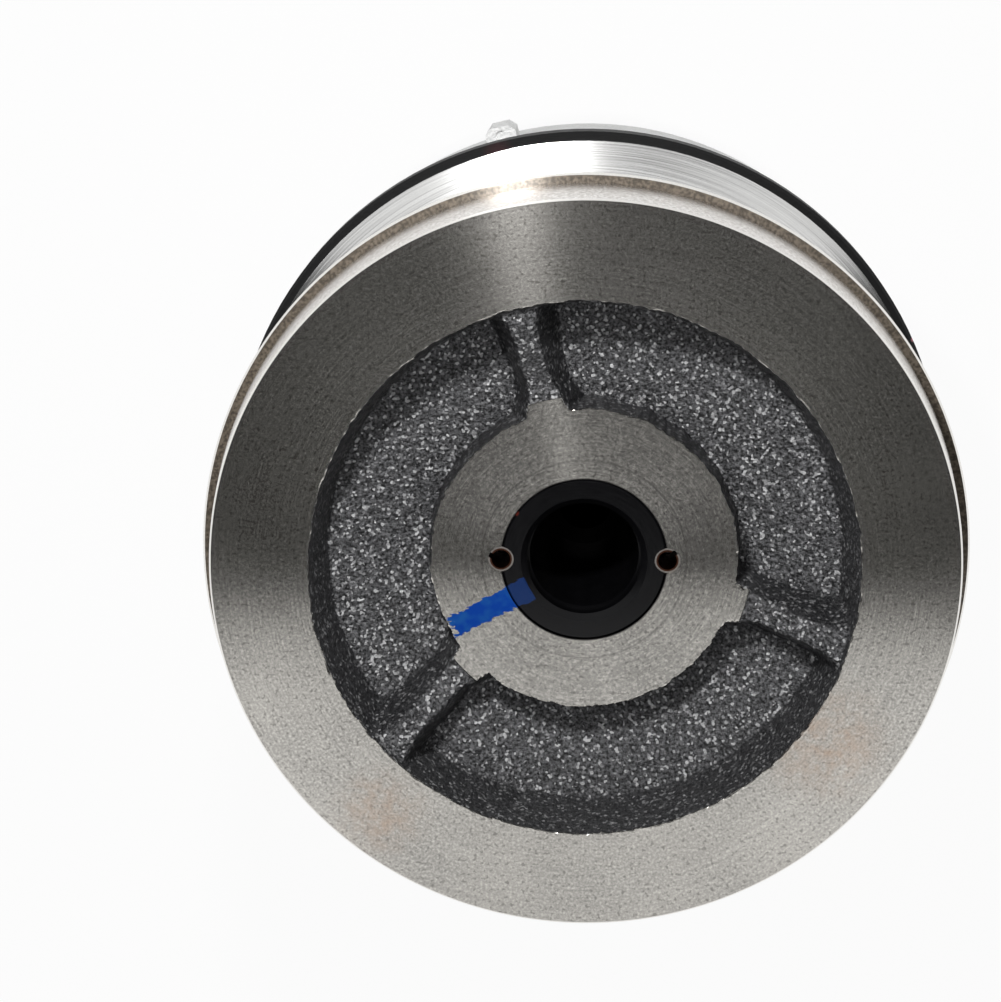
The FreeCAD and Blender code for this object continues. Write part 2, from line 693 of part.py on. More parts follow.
draw_outline(lug_sketch, [
    (LUG_ROOT, "(-lug_width / 2)"),
    (f"({LUG_END} - lug_corner)", "(-lug_width / 2)"),
    (LUG_END, "(lug_corner - lug_width / 2)"),
    (LUG_END, "(lug_width / 2 - lug_corner)"),
    (f"({LUG_END} - lug_corner)", "(lug_width / 2)"),
    (LUG_ROOT, "(lug_width / 2)"),
])
lug = pad(cover, "lug", lug_sketch, "lug_length")
web_sketch = new_sketch(cover, "web_sketch")
draw_outline(web_sketch, [
    (LUG_ROOT, f"({LUG_TOP} - lug_length / 2)"),
    (f"({LUG_END} - lug_corner)", f"({LUG_TOP} - lug_length / 2)"),
    (f"({LUG_END} - lug_corner)", f"({LUG_TOP} - lug_length)"),
    (LUG_ROOT, f"({LUG_TOP} - lug_length - lug_reach)"),
])
lug_web = pad(cover, "lug_web", web_sketch, "lug_web_width", both_ways=True)
lug_hollow_sketch = new_sketch(cover, "lug_hollow_sketch", "XY_Plane", lift=LUG_TOP)
draw_circle(lug_hollow_sketch, f"({LUG_END} - lug_hollow_setback)", "0", "lug_hollow_radius")
lug_hollow = pad(cover, "lug_hollow", lug_hollow_sketch, "lug_hollow_depth", cut=True)
cover_hole_sketch = new_sketch(cover, "cover_hole_sketch", "XY_Plane", lift="shoulder_height")
draw_circle_pair(cover_hole_sketch, SCREW_REACH, SCREW_ASIDE, "screw_radius")
cover_hole = pad(cover, "cover_hole", cover_hole_sketch, "cover_plate", cut=True, backward=True)
polar(cover, "lugs", [lug, lug_web, lug_hollow, cover_hole], "rib_count")
turn_body(cover, "rib_angle")
nodes.append(cover)

nodes.append(tube("cover_bushing", COVER_BUSHING_RADIUS, "(post_end_radius + running_clearance)",
                  "cover_bushing_sink", "(cover_boss_height - cover_bushing_sink)"))


# Six socket screws through the cover's shoulder into the ends of the towers.
def cover_screw(sector, side):
    name = f"cover_screw_{sector}{'a' if side > 0 else 'b'}"
    body = new_body(name)
    revolve(body, name + "_turn", [
        ("0", "0"),
        ("screw_head_radius", "0"),
        ("screw_head_radius", "screw_head_height"),
        ("screw_radius", "screw_head_height"),
        ("screw_radius", "(screw_head_height + cover_plate + screw_grip)"),
        ("0", "(screw_head_height + cover_plate + screw_grip)"),
    ])
    socket_sketch = new_sketch(body, name + "_socket_sketch", "XY_Plane")
    draw_circle(socket_sketch, "0", "0", "(screw_socket / 2)")
    body.Tip = pad(body, name + "_socket", socket_sketch, "screw_socket_depth", cut=True, backward=True)
    angle = sector_angle(sector)
    aside = f"({side} * {SCREW_ASIDE})"
    bind(body, Placement__Base__x=f"{SCREW_REACH} * cos({angle}) - {aside} * sin({angle})",
         Placement__Base__y=f"{SCREW_REACH} * sin({angle}) + {aside} * cos({angle})",
         Placement__Base__z="(shoulder_height - screw_head_height)")
    return body


nodes.append(group("cover_screws", [cover_screw(sector, side) for sector in SECTORS for side in (1, -1)]))

# Spider: fixed on the post, with three forked arms that carry the rollers.
spider = new_body("spider")
revolve(spider, "spider_turn", [
    ("spider_seat_radius", SPIDER_BASE),
    ("spider_collar_radius", SPIDER_BASE),
    ("spider_collar_radius", ARM_BASE),
    ("spider_hub_radius", ARM_BASE),
    ("spider_hub_radius", f"({SPIDER_TOP} - spider_hub_edge)"),
    ("(spider_hub_radius - spider_hub_edge)", SPIDER_TOP),
    ("spider_seat_radius", SPIDER_TOP),
])
arm_sketch = new_sketch(spider, "arm_sketch")
ARM_TOP = f"({ARM_BASE} + arm_height)"
draw_outline(arm_sketch, [
    ("(spider_hub_radius - arm_overlap)", ARM_BASE),
    (f"({ARM_REACH} - arm_edge)", ARM_BASE),
    (ARM_REACH, f"({ARM_BASE} + arm_edge)"),
    (ARM_REACH, f"({ARM_TOP} - arm_edge)"),
    (f"({ARM_REACH} - arm_edge)", ARM_TOP),
    ("(spider_hub_radius - arm_overlap)", ARM_TOP),
])
arm = pad(spider, "arm", arm_sketch, "arm_width", both_ways=True)
WELL_INSIDE = f"({ROLLER_PITCH} - roller_radius - roller_well)"
WELL_OUTSIDE = f"({ROLLER_PITCH} + roller_radius + roller_well)"
slot_sketch = new_sketch(spider, "slot_sketch")
draw_outline(slot_sketch, [
    ("slot_inner", f"({ARM_TOP} + cut_margin)"),
    ("slot_inner", f"({ARM_BASE} + slot_floor_rise)"),
    (WELL_INSIDE, f"({ARM_BASE} + slot_floor_rise)"),
    (WELL_INSIDE, f"({ARM_BASE} - cut_margin)"),
    (WELL_OUTSIDE, f"({ARM_BASE} - cut_margin)"),
    (WELL_OUTSIDE, f"({ARM_TOP} + cut_margin)"),
])
slot = pad(spider, "slot", slot_sketch, "slot_width", both_ways=True, cut=True)
roller_hole_sketch = new_sketch(spider, "roller_hole_sketch")
draw_circle(roller_hole_sketch, ROLLER_PITCH, ROLLER_HEIGHT, "roller_pin_radius")
roller_hole = pad(spider, "roller_hole", roller_hole_sketch, "(arm_width + cut_margin)", both_ways=True, cut=True)
BUTTON_REACH = f"({ARM_REACH} - button_setback)"
BUTTON_HEIGHT = f"({ARM_BASE} + arm_height / 2)"
stem_hole_sketch = new_sketch(spider, "stem_hole_sketch")
draw_circle(stem_hole_sketch, BUTTON_REACH, BUTTON_HEIGHT, "button_stem_radius")
stem_hole = pad(spider, "stem_hole", stem_hole_sketch, "(arm_width + cut_margin)", both_ways=True, cut=True)
polar(spider, "arms", [arm, slot, roller_hole, stem_hole], "rib_count")
turn_body(spider, "rib_angle")
nodes.append(spider)

# Nut that clamps the spider against the shoulder of the post.
nut_blank = document.addObject("Part::Prism", "nut_blank")
nut_blank.Polygon = 6
bind(nut_blank, Circumradius="nut_radius", Height="nut_height", Placement__Base__z=NUT_BASE)
nut_bore = document.addObject("Part::Cylinder", "nut_bore")
bind(nut_bore, Radius="spider_seat_radius", Height="nut_height", Placement__Base__z=NUT_BASE)
spider_nut = document.addObject("Part::Cut", "spider_nut")
spider_nut.Base = nut_blank
spider_nut.Tool = nut_bore
nodes.append(spider_nut)


def cross_piece(name, sector, reach, height, circles, width):
    """A piece that lies across a sector: circles on the sector's mid plane, padded both ways."""
    body = new_body(name)
    sketch = new_sketch(body, name + "_sketch")
    for radius in circles:
        draw_circle(sketch, reach, height, radius)
    pad(body, name + "_pad", sketch, width, both_ways=True)
    turn_body(body, sector_angle(sector))
    return body


# Rollers and their pins in the forks of the spider.
for sector in SECTORS:
    nodes.append(cross_piece(f"roller_{sector + 1}", sector, ROLLER_PITCH, ROLLER_HEIGHT,
                             ["roller_radius", "(roller_pin_radius + pin_fit)"], "roller_width"))
nodes.append(group("roller_pins", [
    cross_piece(f"roller_pin_{sector + 1}", sector, ROLLER_PITCH, ROLLER_HEIGHT,
                ["roller_pin_radius"], "arm_width")
    for sector in SECTORS
]))


# Drive buttons, pressed into both sides of each arm, slide along the towers.
def drive_button(sector, side):
    name = f"drive_button_{sector}{'a' if side > 0 else 'b'}"
    body = new_body(name)
    revolve(body, name + "_turn", [
        ("0", "0"),
        ("button_stem_radius", "0"),
        ("button_stem_radius", "button_stem"),
        ("button_radius", "button_stem"),
        ("button_radius", "(button_stem + button_height - button_edge)"),
        ("(button_radius - button_edge)", "(button_stem + button_height)"),
        ("0", "(button_stem + button_height)"),
    ])
    angle = sector_angle(sector)
    tilt = FreeCAD.Rotation(vector(1, 0, 0), -90 * side)
    turn = FreeCAD.Rotation(UP, number(angle))
    body.Placement = FreeCAD.Placement(vector(0, 0, 0), turn.multiply(tilt))
    aside = f"({side} * (arm_width / 2 - button_stem))"
    bind(body, Placement__Base__x=f"{BUTTON_REACH} * cos({angle}) - {aside} * sin({angle})",
         Placement__Base__y=f"{BUTTON_REACH} * sin({angle}) + {aside} * cos({angle})",
         Placement__Base__z=BUTTON_HEIGHT)
    return body


nodes.append(group("drive_buttons", [drive_button(sector, side) for sector in SECTORS for side in (1, -1)]))


# Flyweights: a round cam weight on a neck that swings about the pivot pin between two towers.
def flyweight(sector):
    name = f"flyweight_{sector + 1}"
    body = new_body(name)
    middle = "(moving_hub_radius + weight_clearance + weight_radius)"
    level = f"({PIVOT_HEIGHT} - weight_droop)"
    weight_sketch = new_sketch(body, name + "_weight_sketch")
    draw_circle(weight_sketch, middle, level, "weight_radius")
    pad(body, name + "_weight", weight_sketch, "weight_thickness", both_ways=True)
    neck_sketch = new_sketch(body, name + "_neck_sketch")
    draw_outline(neck_sketch, [
        (middle, f"({level} + weight_radius - weight_neck_step)"),
        (middle, level),
        (PIVOT_RADIUS, f"({PIVOT_HEIGHT} - weight_neck)"),
        (PIVOT_RADIUS, f"({PIVOT_HEIGHT} + weight_neck)"),
    ])
    pad(body, name + "_neck", neck_sketch, "weight_thickness", both_ways=True)
    boss_sketch = new_sketch(body, name + "_boss_sketch")
    draw_circle(boss_sketch, PIVOT_RADIUS, PIVOT_HEIGHT, "weight_boss_radius")
    pad(body, name + "_boss", boss_sketch, f"(2 * ({TOWER_INSIDE} - weight_side_gap))", both_ways=True)
    bore_sketch = new_sketch(body, name + "_bore_sketch")
    draw_circle(bore_sketch, PIVOT_RADIUS, PIVOT_HEIGHT, "(pivot_pin_radius + pin_fit)")
    body.Tip = pad(body, name + "_bore", bore_sketch, f"(2 * {TOWER_INSIDE})", both_ways=True, cut=True)
    turn_body(body, sector_angle(sector))
    return body


for sector in SECTORS:
    nodes.append(flyweight(sector))
nodes.append(group("pivot_pins", [
    cross_piece(f"pivot_pin_{sector + 1}", sector, PIVOT_RADIUS, PIVOT_HEIGHT,
                ["pivot_pin_radius"], f"(2 * ({TOWER_INSIDE} + tower_width))")
    for sector in SECTORS
]))

# Return spring, between the spider and a washer on the cover's end plate.
SPRING_BASE = "(cover_plate + spring_washer + spring_wire_radius)"
SPRING_LENGTH = f"({ARM_BASE} - spring_wire_radius - {SPRING_BASE})"


def coil(name, radius, wire_radius, base, length, turns):
    """A coil spring in flat facets, plain enough to stay light."""
    sides = SIZES["spring_wire_sides"]
    steps = int(SIZES["spring_turn_steps"] * turns)
    rings = []
    for step in range(steps + 1):
        angle = 2 * math.pi * turns * step / steps
        outward = vector(math.cos(angle), math.sin(angle), 0)
        middle = outward * radius + UP * (base + length * step / steps)
        turned = [2 * math.pi * side / sides for side in range(sides)]
        rings.append([middle + outward * (wire_radius * math.cos(a)) + UP * (wire_radius * math.sin(a))
                      for a in turned])
    faces = [Part.Face(Part.makePolygon(ring + ring[:1])) for ring in (rings[0], rings[-1])]
    for near, far in zip(rings, rings[1:]):
        for side in range(sides):
            other = (side + 1) % sides
            for corners in ((near[side], near[other], far[other]), (near[side], far[other], far[side])):
                faces.append(Part.Face(Part.makePolygon([*corners, corners[0]])))
    feature = document.addObject("Part::Feature", name)
    shell = Part.makeShell(faces)
    shell.sewShape()
    solid = Part.makeSolid(shell)
    feature.Shape = solid if solid.Volume > 0 else solid.reversed()
    return feature


nodes.append(coil("spring", number("spring_radius"), number("spring_wire_radius"), number(SPRING_BASE),
                  number(SPRING_LENGTH), number("spring_turns")))
nodes.append(tube("spring_washer", "spring_washer_outer", "spring_washer_inner", "cover_plate", "spring_washer"))

document.recompute()
for thing in document.Objects:
    if "Invalid" in thing.State or "Error" in thing.State:
        raise ValueError(f"{thing.Label} failed: {thing.State}")
for node in nodes:
    node.Label = node.Name
    shape = node.Shape
    if shape.isNull() or not shape.isValid():
        raise ValueError(f"{node.Label} has no valid shape")
    print(f"{node.Label:22s} solids {len(shape.Solids):2d}  volume {shape.Volume:12.1f}")
for node in nodes:
    node.Shape.exportStep(f"parts/{node.Label}.step")
print("nodes", len(nodes))
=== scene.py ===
import math

import bpy
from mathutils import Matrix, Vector, noise


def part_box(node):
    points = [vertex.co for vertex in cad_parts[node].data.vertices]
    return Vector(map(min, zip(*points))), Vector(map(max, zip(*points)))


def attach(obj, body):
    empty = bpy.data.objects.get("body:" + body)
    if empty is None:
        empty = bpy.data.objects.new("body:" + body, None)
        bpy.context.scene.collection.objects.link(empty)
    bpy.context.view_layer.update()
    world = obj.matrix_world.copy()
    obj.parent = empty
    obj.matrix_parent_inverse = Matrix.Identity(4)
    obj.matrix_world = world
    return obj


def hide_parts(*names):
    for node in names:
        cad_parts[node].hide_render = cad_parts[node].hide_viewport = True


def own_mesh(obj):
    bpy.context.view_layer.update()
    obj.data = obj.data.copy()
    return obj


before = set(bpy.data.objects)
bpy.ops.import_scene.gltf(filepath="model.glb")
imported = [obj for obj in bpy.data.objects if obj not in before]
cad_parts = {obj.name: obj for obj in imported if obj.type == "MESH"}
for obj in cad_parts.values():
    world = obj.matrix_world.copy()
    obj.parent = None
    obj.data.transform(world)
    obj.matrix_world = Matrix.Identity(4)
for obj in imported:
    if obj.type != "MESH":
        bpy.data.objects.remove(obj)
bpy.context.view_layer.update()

MM = 0.001

# Sizes of the clutch in millimetres, as in its CAD source. The axis is Z and the ring faces up.
SHEAVE_RADIUS = 95.25
FACE_SLOPE = math.tan(math.radians(15))
FIXED_RIM = 152.4
MOVING_RIM = 83.4
GROOVE_RADIUS = 26
GROOVE_TOP = FIXED_RIM - (SHEAVE_RADIUS - GROOVE_RADIUS) * FACE_SLOPE
RING_FACE = 170.0
HUB_FACE = 157.0
WEB = 8.5
BORE_RADIUS = 20.6
PIN_RADIUS = 3.175
PIN_FLOOR = 142.0
HUB_RADIUS = 38.1
HUB_FOOT = 41.1
EAR_REACH = 41.5
RECESS_RADIUS = 67.1
RECESS_FOOT = 60.6
RING_RADIUS = 91.3
RING_EDGE = 0.5
SHOULDER_RADIUS = 92.8
SHOULDER_HEIGHT = 153.8
RIB_ANGLES = [math.radians(104 + 120 * index) for index in range(3)]
ARM_BASE = 50.41
SPRING_BASE = 5.0
SPRING_RADIUS = 28.0
SPRING_WIRE_RADIUS = 2.1
SPRING_TURNS = 5
SCREW_REACH = 78.0
SCREW_ASIDE = 15.9
SCREW_SEAT = 22.0
SCREW_HEAD_RADIUS = 5.0
SCREW_HEAD_HEIGHT = 4.0
SCREW_RADIUS = 3.0
SCREW_SOCKET_RADIUS = 2.3
SCREW_SOCKET_DEPTH = 2.2

# Edges of the finished pieces in millimetres.
RIM_BEVEL = 0.5
RIM_LIP = 0.55
SCREW_BEVEL = 0.35

# Marks on the clutch in millimetres. Each patch has a centre and a reach.
STRIPE_ANGLE = math.radians(208.5)
STRIPE_START = 15.2
STRIPE_END = 37.7
STRIPE_START_HALF = 3.3
STRIPE_END_HALF = 2.9
PAINTED_ABOVE = HUB_FACE - 0.3
RUST_PATCHES = [((60, -42, RING_FACE), 20), ((-50, -62, RING_FACE), 15)]
TOOL_CIRCLE_RADIUS = 25.3
TOOL_CIRCLE_WIDTH = 0.5
POST_FLECK = ((-16.9, 11.9, HUB_FACE), 1.3)
DUST_RING_BLUSH = ((-24.1, 91.5, 82), 5.5)
DUST_RING_MARK = ((88.4, 41.9, 82), 1.3)


def colour(text):
    """A linear colour from an sRGB hex value such as #8c8a86."""
    shades = [int(text[start:start + 2], 16) / 255 for start in (1, 3, 5)]
    linear = [s / 12.92 if s <= 0.04045 else ((s + 0.055) / 1.055) ** 2.4 for s in shades]
    return (*linear, 1.0)


# Camera, at the place worked out from the rims of the two sheaves in the photograph, in metres.
IMAGE_WIDTH = 1001
FOCAL_PIXELS = 2500
CAMERA_PLACE = (0.0024, 0.1680, 0.7524)
CAMERA_TILT = math.radians(-14.41)
CAMERA_TURN = math.radians(2.22)
camera_data = bpy.data.cameras.new("camera")
camera_data.sensor_fit = "HORIZONTAL"
camera_data.sensor_width = 36
camera_data.lens = FOCAL_PIXELS / IMAGE_WIDTH * camera_data.sensor_width
camera = bpy.data.objects.new("camera", camera_data)
camera.location = CAMERA_PLACE
camera.rotation_euler = (CAMERA_TILT, CAMERA_TURN, 0)
bpy.context.scene.collection.objects.link(camera)
bpy.context.scene.camera = camera


# Nodes and materials. A Map Range node's inputs are 0 its value, 1 and 2 the range that the value comes
# from, and 3 and 4 the range that it goes to, nought to one when they aren't given. A Mix node's inputs
# are 2 and 3 for its two numbers, and 6 and 7 for its two colours.
WHOLE = (0.0, 1.0, 0.0, 1.0)
MARK_RADIUS = 60


def node(tree, kind, inputs=(), output=0, **settings):
    """Add one node with its settings, link or set its inputs, and give back one of its outputs."""
    made = tree.nodes.new(kind)
    for name, value in settings.items():
        setattr(made, name, value)
    for key, value in dict(inputs).items():
        if isinstance(value, bpy.types.NodeSocket):
            tree.links.new(value, made.inputs[key])
        else:
            made.inputs[key].default_value = value
    return made.outputs[output]


def new_material(name, **constants):
    """A material of one Principled shader, its node tree and the shader."""
    material = bpy.data.materials.new(name)
    material.use_nodes = True
    tree = material.node_tree
    tree.nodes.clear()
    shader = tree.nodes.new("ShaderNodeBsdfPrincipled")
    output = tree.nodes.new("ShaderNodeOutputMaterial")
    tree.links.new(shader.outputs["BSDF"], output.inputs["Surface"])
    for key, value in constants.items():
        shader.inputs[key.replace("_", " ")].default_value = value
    return material, tree, shader


def surface(tree, shader, base, rough, relief):
    """Give a shader its colour, its roughness and its fine relief in millimetres."""
    bump = node(tree, "ShaderNodeBump", {"Height": relief, "Strength": 1.0, "Distance": MM}, "Normal")
    tree.links.new(base, shader.inputs["Base Color"])
    tree.links.new(rough, shader.inputs["Roughness"])
    tree.links.new(bump, shader.inputs["Normal"])


def layered(tree, shade, layers):
    """A colour with layers over it, in order. Each layer has a pattern, the range of the pattern that
    counts, how much the layer covers at either end of that range, and its hex colour."""
    for pattern, low, high, least, most, cover in layers:
        share = node(tree, "ShaderNodeMapRange", {0: pattern, 1: low, 2: high, 3: least, 4: most})
        shade = node(tree, "ShaderNodeMix", {"Factor": share, 6: shade, 7: colour(cover)}, 2,
                     data_type="RGBA")
    return shade


def millimetres(tree):
    """Object coordinates in millimetres."""
    place = node(tree, "ShaderNodeTexCoord", output="Object")
    return node(tree, "ShaderNodeMapping", {"Vector": place, "Scale": (1 / MM, 1 / MM, 1 / MM)})


def radius_from_axis(tree, place):
    """The distance of a place from the axis of the clutch."""
    flat = node(tree, "ShaderNodeVectorMath", {0: place, 1: (1, 1, 0)}, operation="MULTIPLY")
    return node(tree, "ShaderNodeVectorMath", {0: flat}, "Value", operation="LENGTH")


def turned_marks(tree, place, pitch, arc):
    """The streaks of a lathe tool: a pitch apart across the radius, and an arc long round the axis."""
    flat = node(tree, "ShaderNodeVectorMath", {0: place, 1: (1, 1, 0)}, operation="MULTIPLY")
    way = node(tree, "ShaderNodeVectorMath", {0: flat}, operation="NORMALIZE")
    round_axis = node(tree, "ShaderNodeVectorMath", {0: way, "Scale": MARK_RADIUS / arc}, operation="SCALE")
    radius = node(tree, "ShaderNodeVectorMath", {0: flat}, "Value", operation="LENGTH")
    across = node(tree, "ShaderNodeMath", {0: radius, 1: 1 / pitch}, operation="MULTIPLY")
    lifted = node(tree, "ShaderNodeCombineXYZ", {"Z": across})
    spot = node(tree, "ShaderNodeVectorMath", {0: round_axis, 1: lifted}, operation="ADD")
    return node(tree, "ShaderNodeTexNoise", {"Vector": spot, "Scale": 1.0, "Detail": 3.0}, "Fac")


def patch(tree, place, centre, reach):
    """A soft round patch: one at its centre and nought at its reach."""
    away = node(tree, "ShaderNodeVectorMath", {0: place, 1: centre}, "Value", operation="DISTANCE")
    return node(tree, "ShaderNodeMapRange", {0: away, 1: reach, 2: 0.0}, interpolation_type="SMOOTHSTEP")


def stripe(tree, place, height):
    """Where the stripe of blue marking paint lies on the hub and the post, with ragged brush edges."""
    along_way = (math.cos(STRIPE_ANGLE), math.sin(STRIPE_ANGLE), 0)
    across_way = (-math.sin(STRIPE_ANGLE), math.cos(STRIPE_ANGLE), 0)
    along = node(tree, "ShaderNodeVectorMath", {0: place, 1: along_way}, "Value",
                 operation="DOT_PRODUCT")
    across = node(tree, "ShaderNodeVectorMath", {0: place, 1: across_way}, "Value",
                  operation="DOT_PRODUCT")
    drag = node(tree, "ShaderNodeMapping", {"Vector": place, "Scale": (0.5, 1.3, 1.0)})
    rag = node(tree, "ShaderNodeTexNoise", {"Vector": drag, "Scale": 1.1, "Detail": 4.0}, "Fac")
    rag = node(tree, "ShaderNodeMapRange", {0: rag, 1: 0.25, 2: 0.75, 3: -0.7, 4: 0.5})
    half = node(tree, "ShaderNodeMapRange", {0: along, 1: STRIPE_START, 2: STRIPE_END,
                                             3: STRIPE_START_HALF, 4: STRIPE_END_HALF})
    aside = node(tree, "ShaderNodeMath", {0: across}, operation="ABSOLUTE")
    inside = node(tree, "ShaderNodeMath", {0: half, 1: aside}, operation="SUBTRACT")
    inside = node(tree, "ShaderNodeMath", {0: inside, 1: rag}, operation="ADD")
    to_end = node(tree, "ShaderNodeMath", {0: STRIPE_END, 1: along}, operation="SUBTRACT")
    thin = node(tree, "ShaderNodeMath", {0: rag, 1: 3.0}, operation="MULTIPLY")
    to_end = node(tree, "ShaderNodeMath", {0: to_end, 1: thin}, operation="ADD")
    from_start = node(tree, "ShaderNodeMath", {0: along, 1: STRIPE_START}, operation="SUBTRACT")
    nearest = node(tree, "ShaderNodeMath", {0: inside, 1: to_end}, operation="MINIMUM")
    nearest = node(tree, "ShaderNodeMath", {0: nearest, 1: from_start}, operation="MINIMUM")
    painted = node(tree, "ShaderNodeMapRange", {0: nearest, 1: 0.0, 2: 0.2})
    top = node(tree, "ShaderNodeMath", {0: height, 1: PAINTED_ABOVE}, operation="GREATER_THAN")
    return node(tree, "ShaderNodeMath", {0: painted, 1: top}, operation="MULTIPLY")


def faced_iron(tree, place, radius, cut, marks, blotch):
    """Iron as the lathe leaves it: dull silver with tool rings and a sandy grain, dark graphite specks
    about 2 mm apart, a burr where the cut runs out that is painted near white as a painted highlight,
    breaths of rust, one faint tool circle, and a dark joint round the bore."""
    fine = node(tree, "ShaderNodeTexNoise", {"Vector": place, "Scale": 1.5, "Detail": 3.0}, "Fac")
    broad = node(tree, "ShaderNodeTexNoise", {"Vector": place, "Scale": 0.04, "Detail": 3.0}, "Fac")
    specks = node(tree, "ShaderNodeTexNoise", {"Vector": place, "Scale": 1.0, "Detail": 1.0}, "Fac")
    # painted highlight: the ragged burr where the cut runs out is painted near white
    run_out = node(tree, "ShaderNodeMapRange", {0: cut, 1: 0.16, 2: 0.04})
    ragged = node(tree, "ShaderNodeMapRange", {0: fine, 1: 0.42, 2: 0.6})
    burr = node(tree, "ShaderNodeMath", {0: run_out, 1: ragged}, operation="MULTIPLY")
    first, second = [patch(tree, place, centre, reach) for centre, reach in RUST_PATCHES]
    stain = node(tree, "ShaderNodeMath", {0: first, 1: second}, operation="MAXIMUM")
    clouds = node(tree, "ShaderNodeMapRange", {0: blotch, 1: 0.35, 2: 0.7, 3: 0.1, 4: 0.7})
    stain = node(tree, "ShaderNodeMath", {0: stain, 1: clouds}, operation="MULTIPLY")
    circle = node(tree, "ShaderNodeMath", {0: radius, 1: TOOL_CIRCLE_RADIUS, 2: TOOL_CIRCLE_WIDTH / 2},
                  operation="COMPARE")
    faint = node(tree, "ShaderNodeMath", {0: circle, 1: 0.3}, operation="MULTIPLY")
    joint = node(tree, "ShaderNodeMapRange", {0: radius, 1: BORE_RADIUS + 0.3, 2: BORE_RADIUS + 0.1})
    seam = node(tree, "ShaderNodeMath", {0: faint, 1: joint}, operation="MAXIMUM")
    return layered(tree, colour("#868480"), [
        (marks, 0.3, 0.7, 0.0, 1.0, "#9b9994"),
        (fine, 0.3, 0.7, 0.5, 0.0, "#6f6d6a"),
        (fine, 0.45, 0.75, 0.0, 0.35, "#cecbc5"),
        (broad, 0.35, 0.7, 0.0, 0.3, "#b0ada7"),
        (specks, 0.4, 0.32, 0.0, 0.5, "#474441"),
        # painted highlight along the burr
        (burr, 0.0, 1.0, 0.0, 0.8, "#dad7d1"),
        (stain, *WHOLE, "#8f7a69"),
        (seam, *WHOLE, "#4a4846"),
    ])


def as_cast_iron(tree, place):
    """Iron as the sand mould leaves it: a charcoal skin of grains about 0.6 mm across, with painted glints
    on some of them, and painted shade that darkens the steep walls and thins their glints."""
    grains = node(tree, "ShaderNodeTexNoise", {"Vector": place, "Scale": 1.3, "Detail": 3.0,
                                               "Roughness": 0.65}, "Fac")
    facing = node(tree, "ShaderNodeTexCoord", output="Normal")
    level = node(tree, "ShaderNodeSeparateXYZ", {0: facing}, "Z")
    # painted shade: the steeper the skin, the darker it is painted
    upright = node(tree, "ShaderNodeMapRange", {0: level, 1: 0.93, 2: 0.5})
    cells = node(tree, "ShaderNodeTexVoronoi", {"Vector": place, "Scale": 1.5}, "Color")
    cells = node(tree, "ShaderNodeSeparateColor", {0: cells}, "Green")
    # painted glints: a few bright cells stand in for sparkle, fewer of them on the steep walls
    glints = node(tree, "ShaderNodeMapRange", {0: cells, 1: 0.83, 2: 0.97, 3: 0.0, 4: 0.8})
    kept = node(tree, "ShaderNodeMapRange", {0: upright, 1: 0.0, 2: 1.0, 3: 1.0, 4: 0.45})
    glints = node(tree, "ShaderNodeMath", {0: glints, 1: kept}, operation="MULTIPLY")
    return layered(tree, colour("#1a1a1b"), [
        (grains, 0.4, 0.63, 0.0, 1.0, "#707072"),
        (upright, 0.0, 1.0, 0.0, 0.7, "#1c1c1e"),
        (glints, *WHOLE, "#dcdcdd"),
    ])


def rim_iron(tree, place, radius, height):
    """The outside of the rim: grainy down its side, which is painted near white as a painted highlight,
    brown on its shoulder, with painted highlights along its two chamfers, and grey on the belt face.
    Gives its colour, and where brown covers the metal."""
    grains = node(tree, "ShaderNodeTexNoise", {"Vector": place, "Scale": 1.3, "Detail": 3.0}, "Fac")
    # painted highlight: the turned side is painted near white, paler than bare iron
    side = layered(tree, colour("#d6d1cc"), [(grains, 0.35, 0.65, 0.0, 1.0, "#f6f4f1")])
    shoulder = layered(tree, colour("#524b43"), [(grains, 0.38, 0.62, 0.0, 1.0, "#7b7165")])
    low = node(tree, "ShaderNodeMapRange", {0: height, 1: SHOULDER_HEIGHT + 0.4, 2: SHOULDER_HEIGHT + 0.1})
    shade = node(tree, "ShaderNodeMix", {"Factor": low, 6: side, 7: shoulder}, 2, data_type="RGBA")
    # painted highlight: the two chamfers and the edge are painted near white
    chamfer = node(tree, "ShaderNodeMapRange", {0: height, 1: RING_FACE - RING_EDGE - 0.06,
                                                2: RING_FACE - RING_EDGE})
    edge = node(tree, "ShaderNodeMapRange", {0: radius, 1: SHEAVE_RADIUS - RIM_BEVEL - 0.04,
                                             2: SHEAVE_RADIUS - RIM_BEVEL + 0.02})
    cut_edge_and_highlight = node(tree, "ShaderNodeMath", {0: chamfer, 1: edge}, operation="MAXIMUM")
    belt = node(tree, "ShaderNodeMapRange", {0: height, 1: FIXED_RIM + 0.1, 2: FIXED_RIM - 0.1})
    shade = layered(tree, shade, [(cut_edge_and_highlight, *WHOLE, "#f0eeea"), (belt, *WHOLE, "#a5a39f")])
    uncut = node(tree, "ShaderNodeMapRange", {0: cut_edge_and_highlight, 1: 1.0, 2: 0.0})
    off_belt = node(tree, "ShaderNodeMapRange", {0: belt, 1: 0.3, 2: 0.0})
    browned = node(tree, "ShaderNodeMath", {0: low, 1: uncut}, operation="MINIMUM")
    browned = node(tree, "ShaderNodeMath", {0: browned, 1: off_belt}, operation="MINIMUM")
    return shade, browned


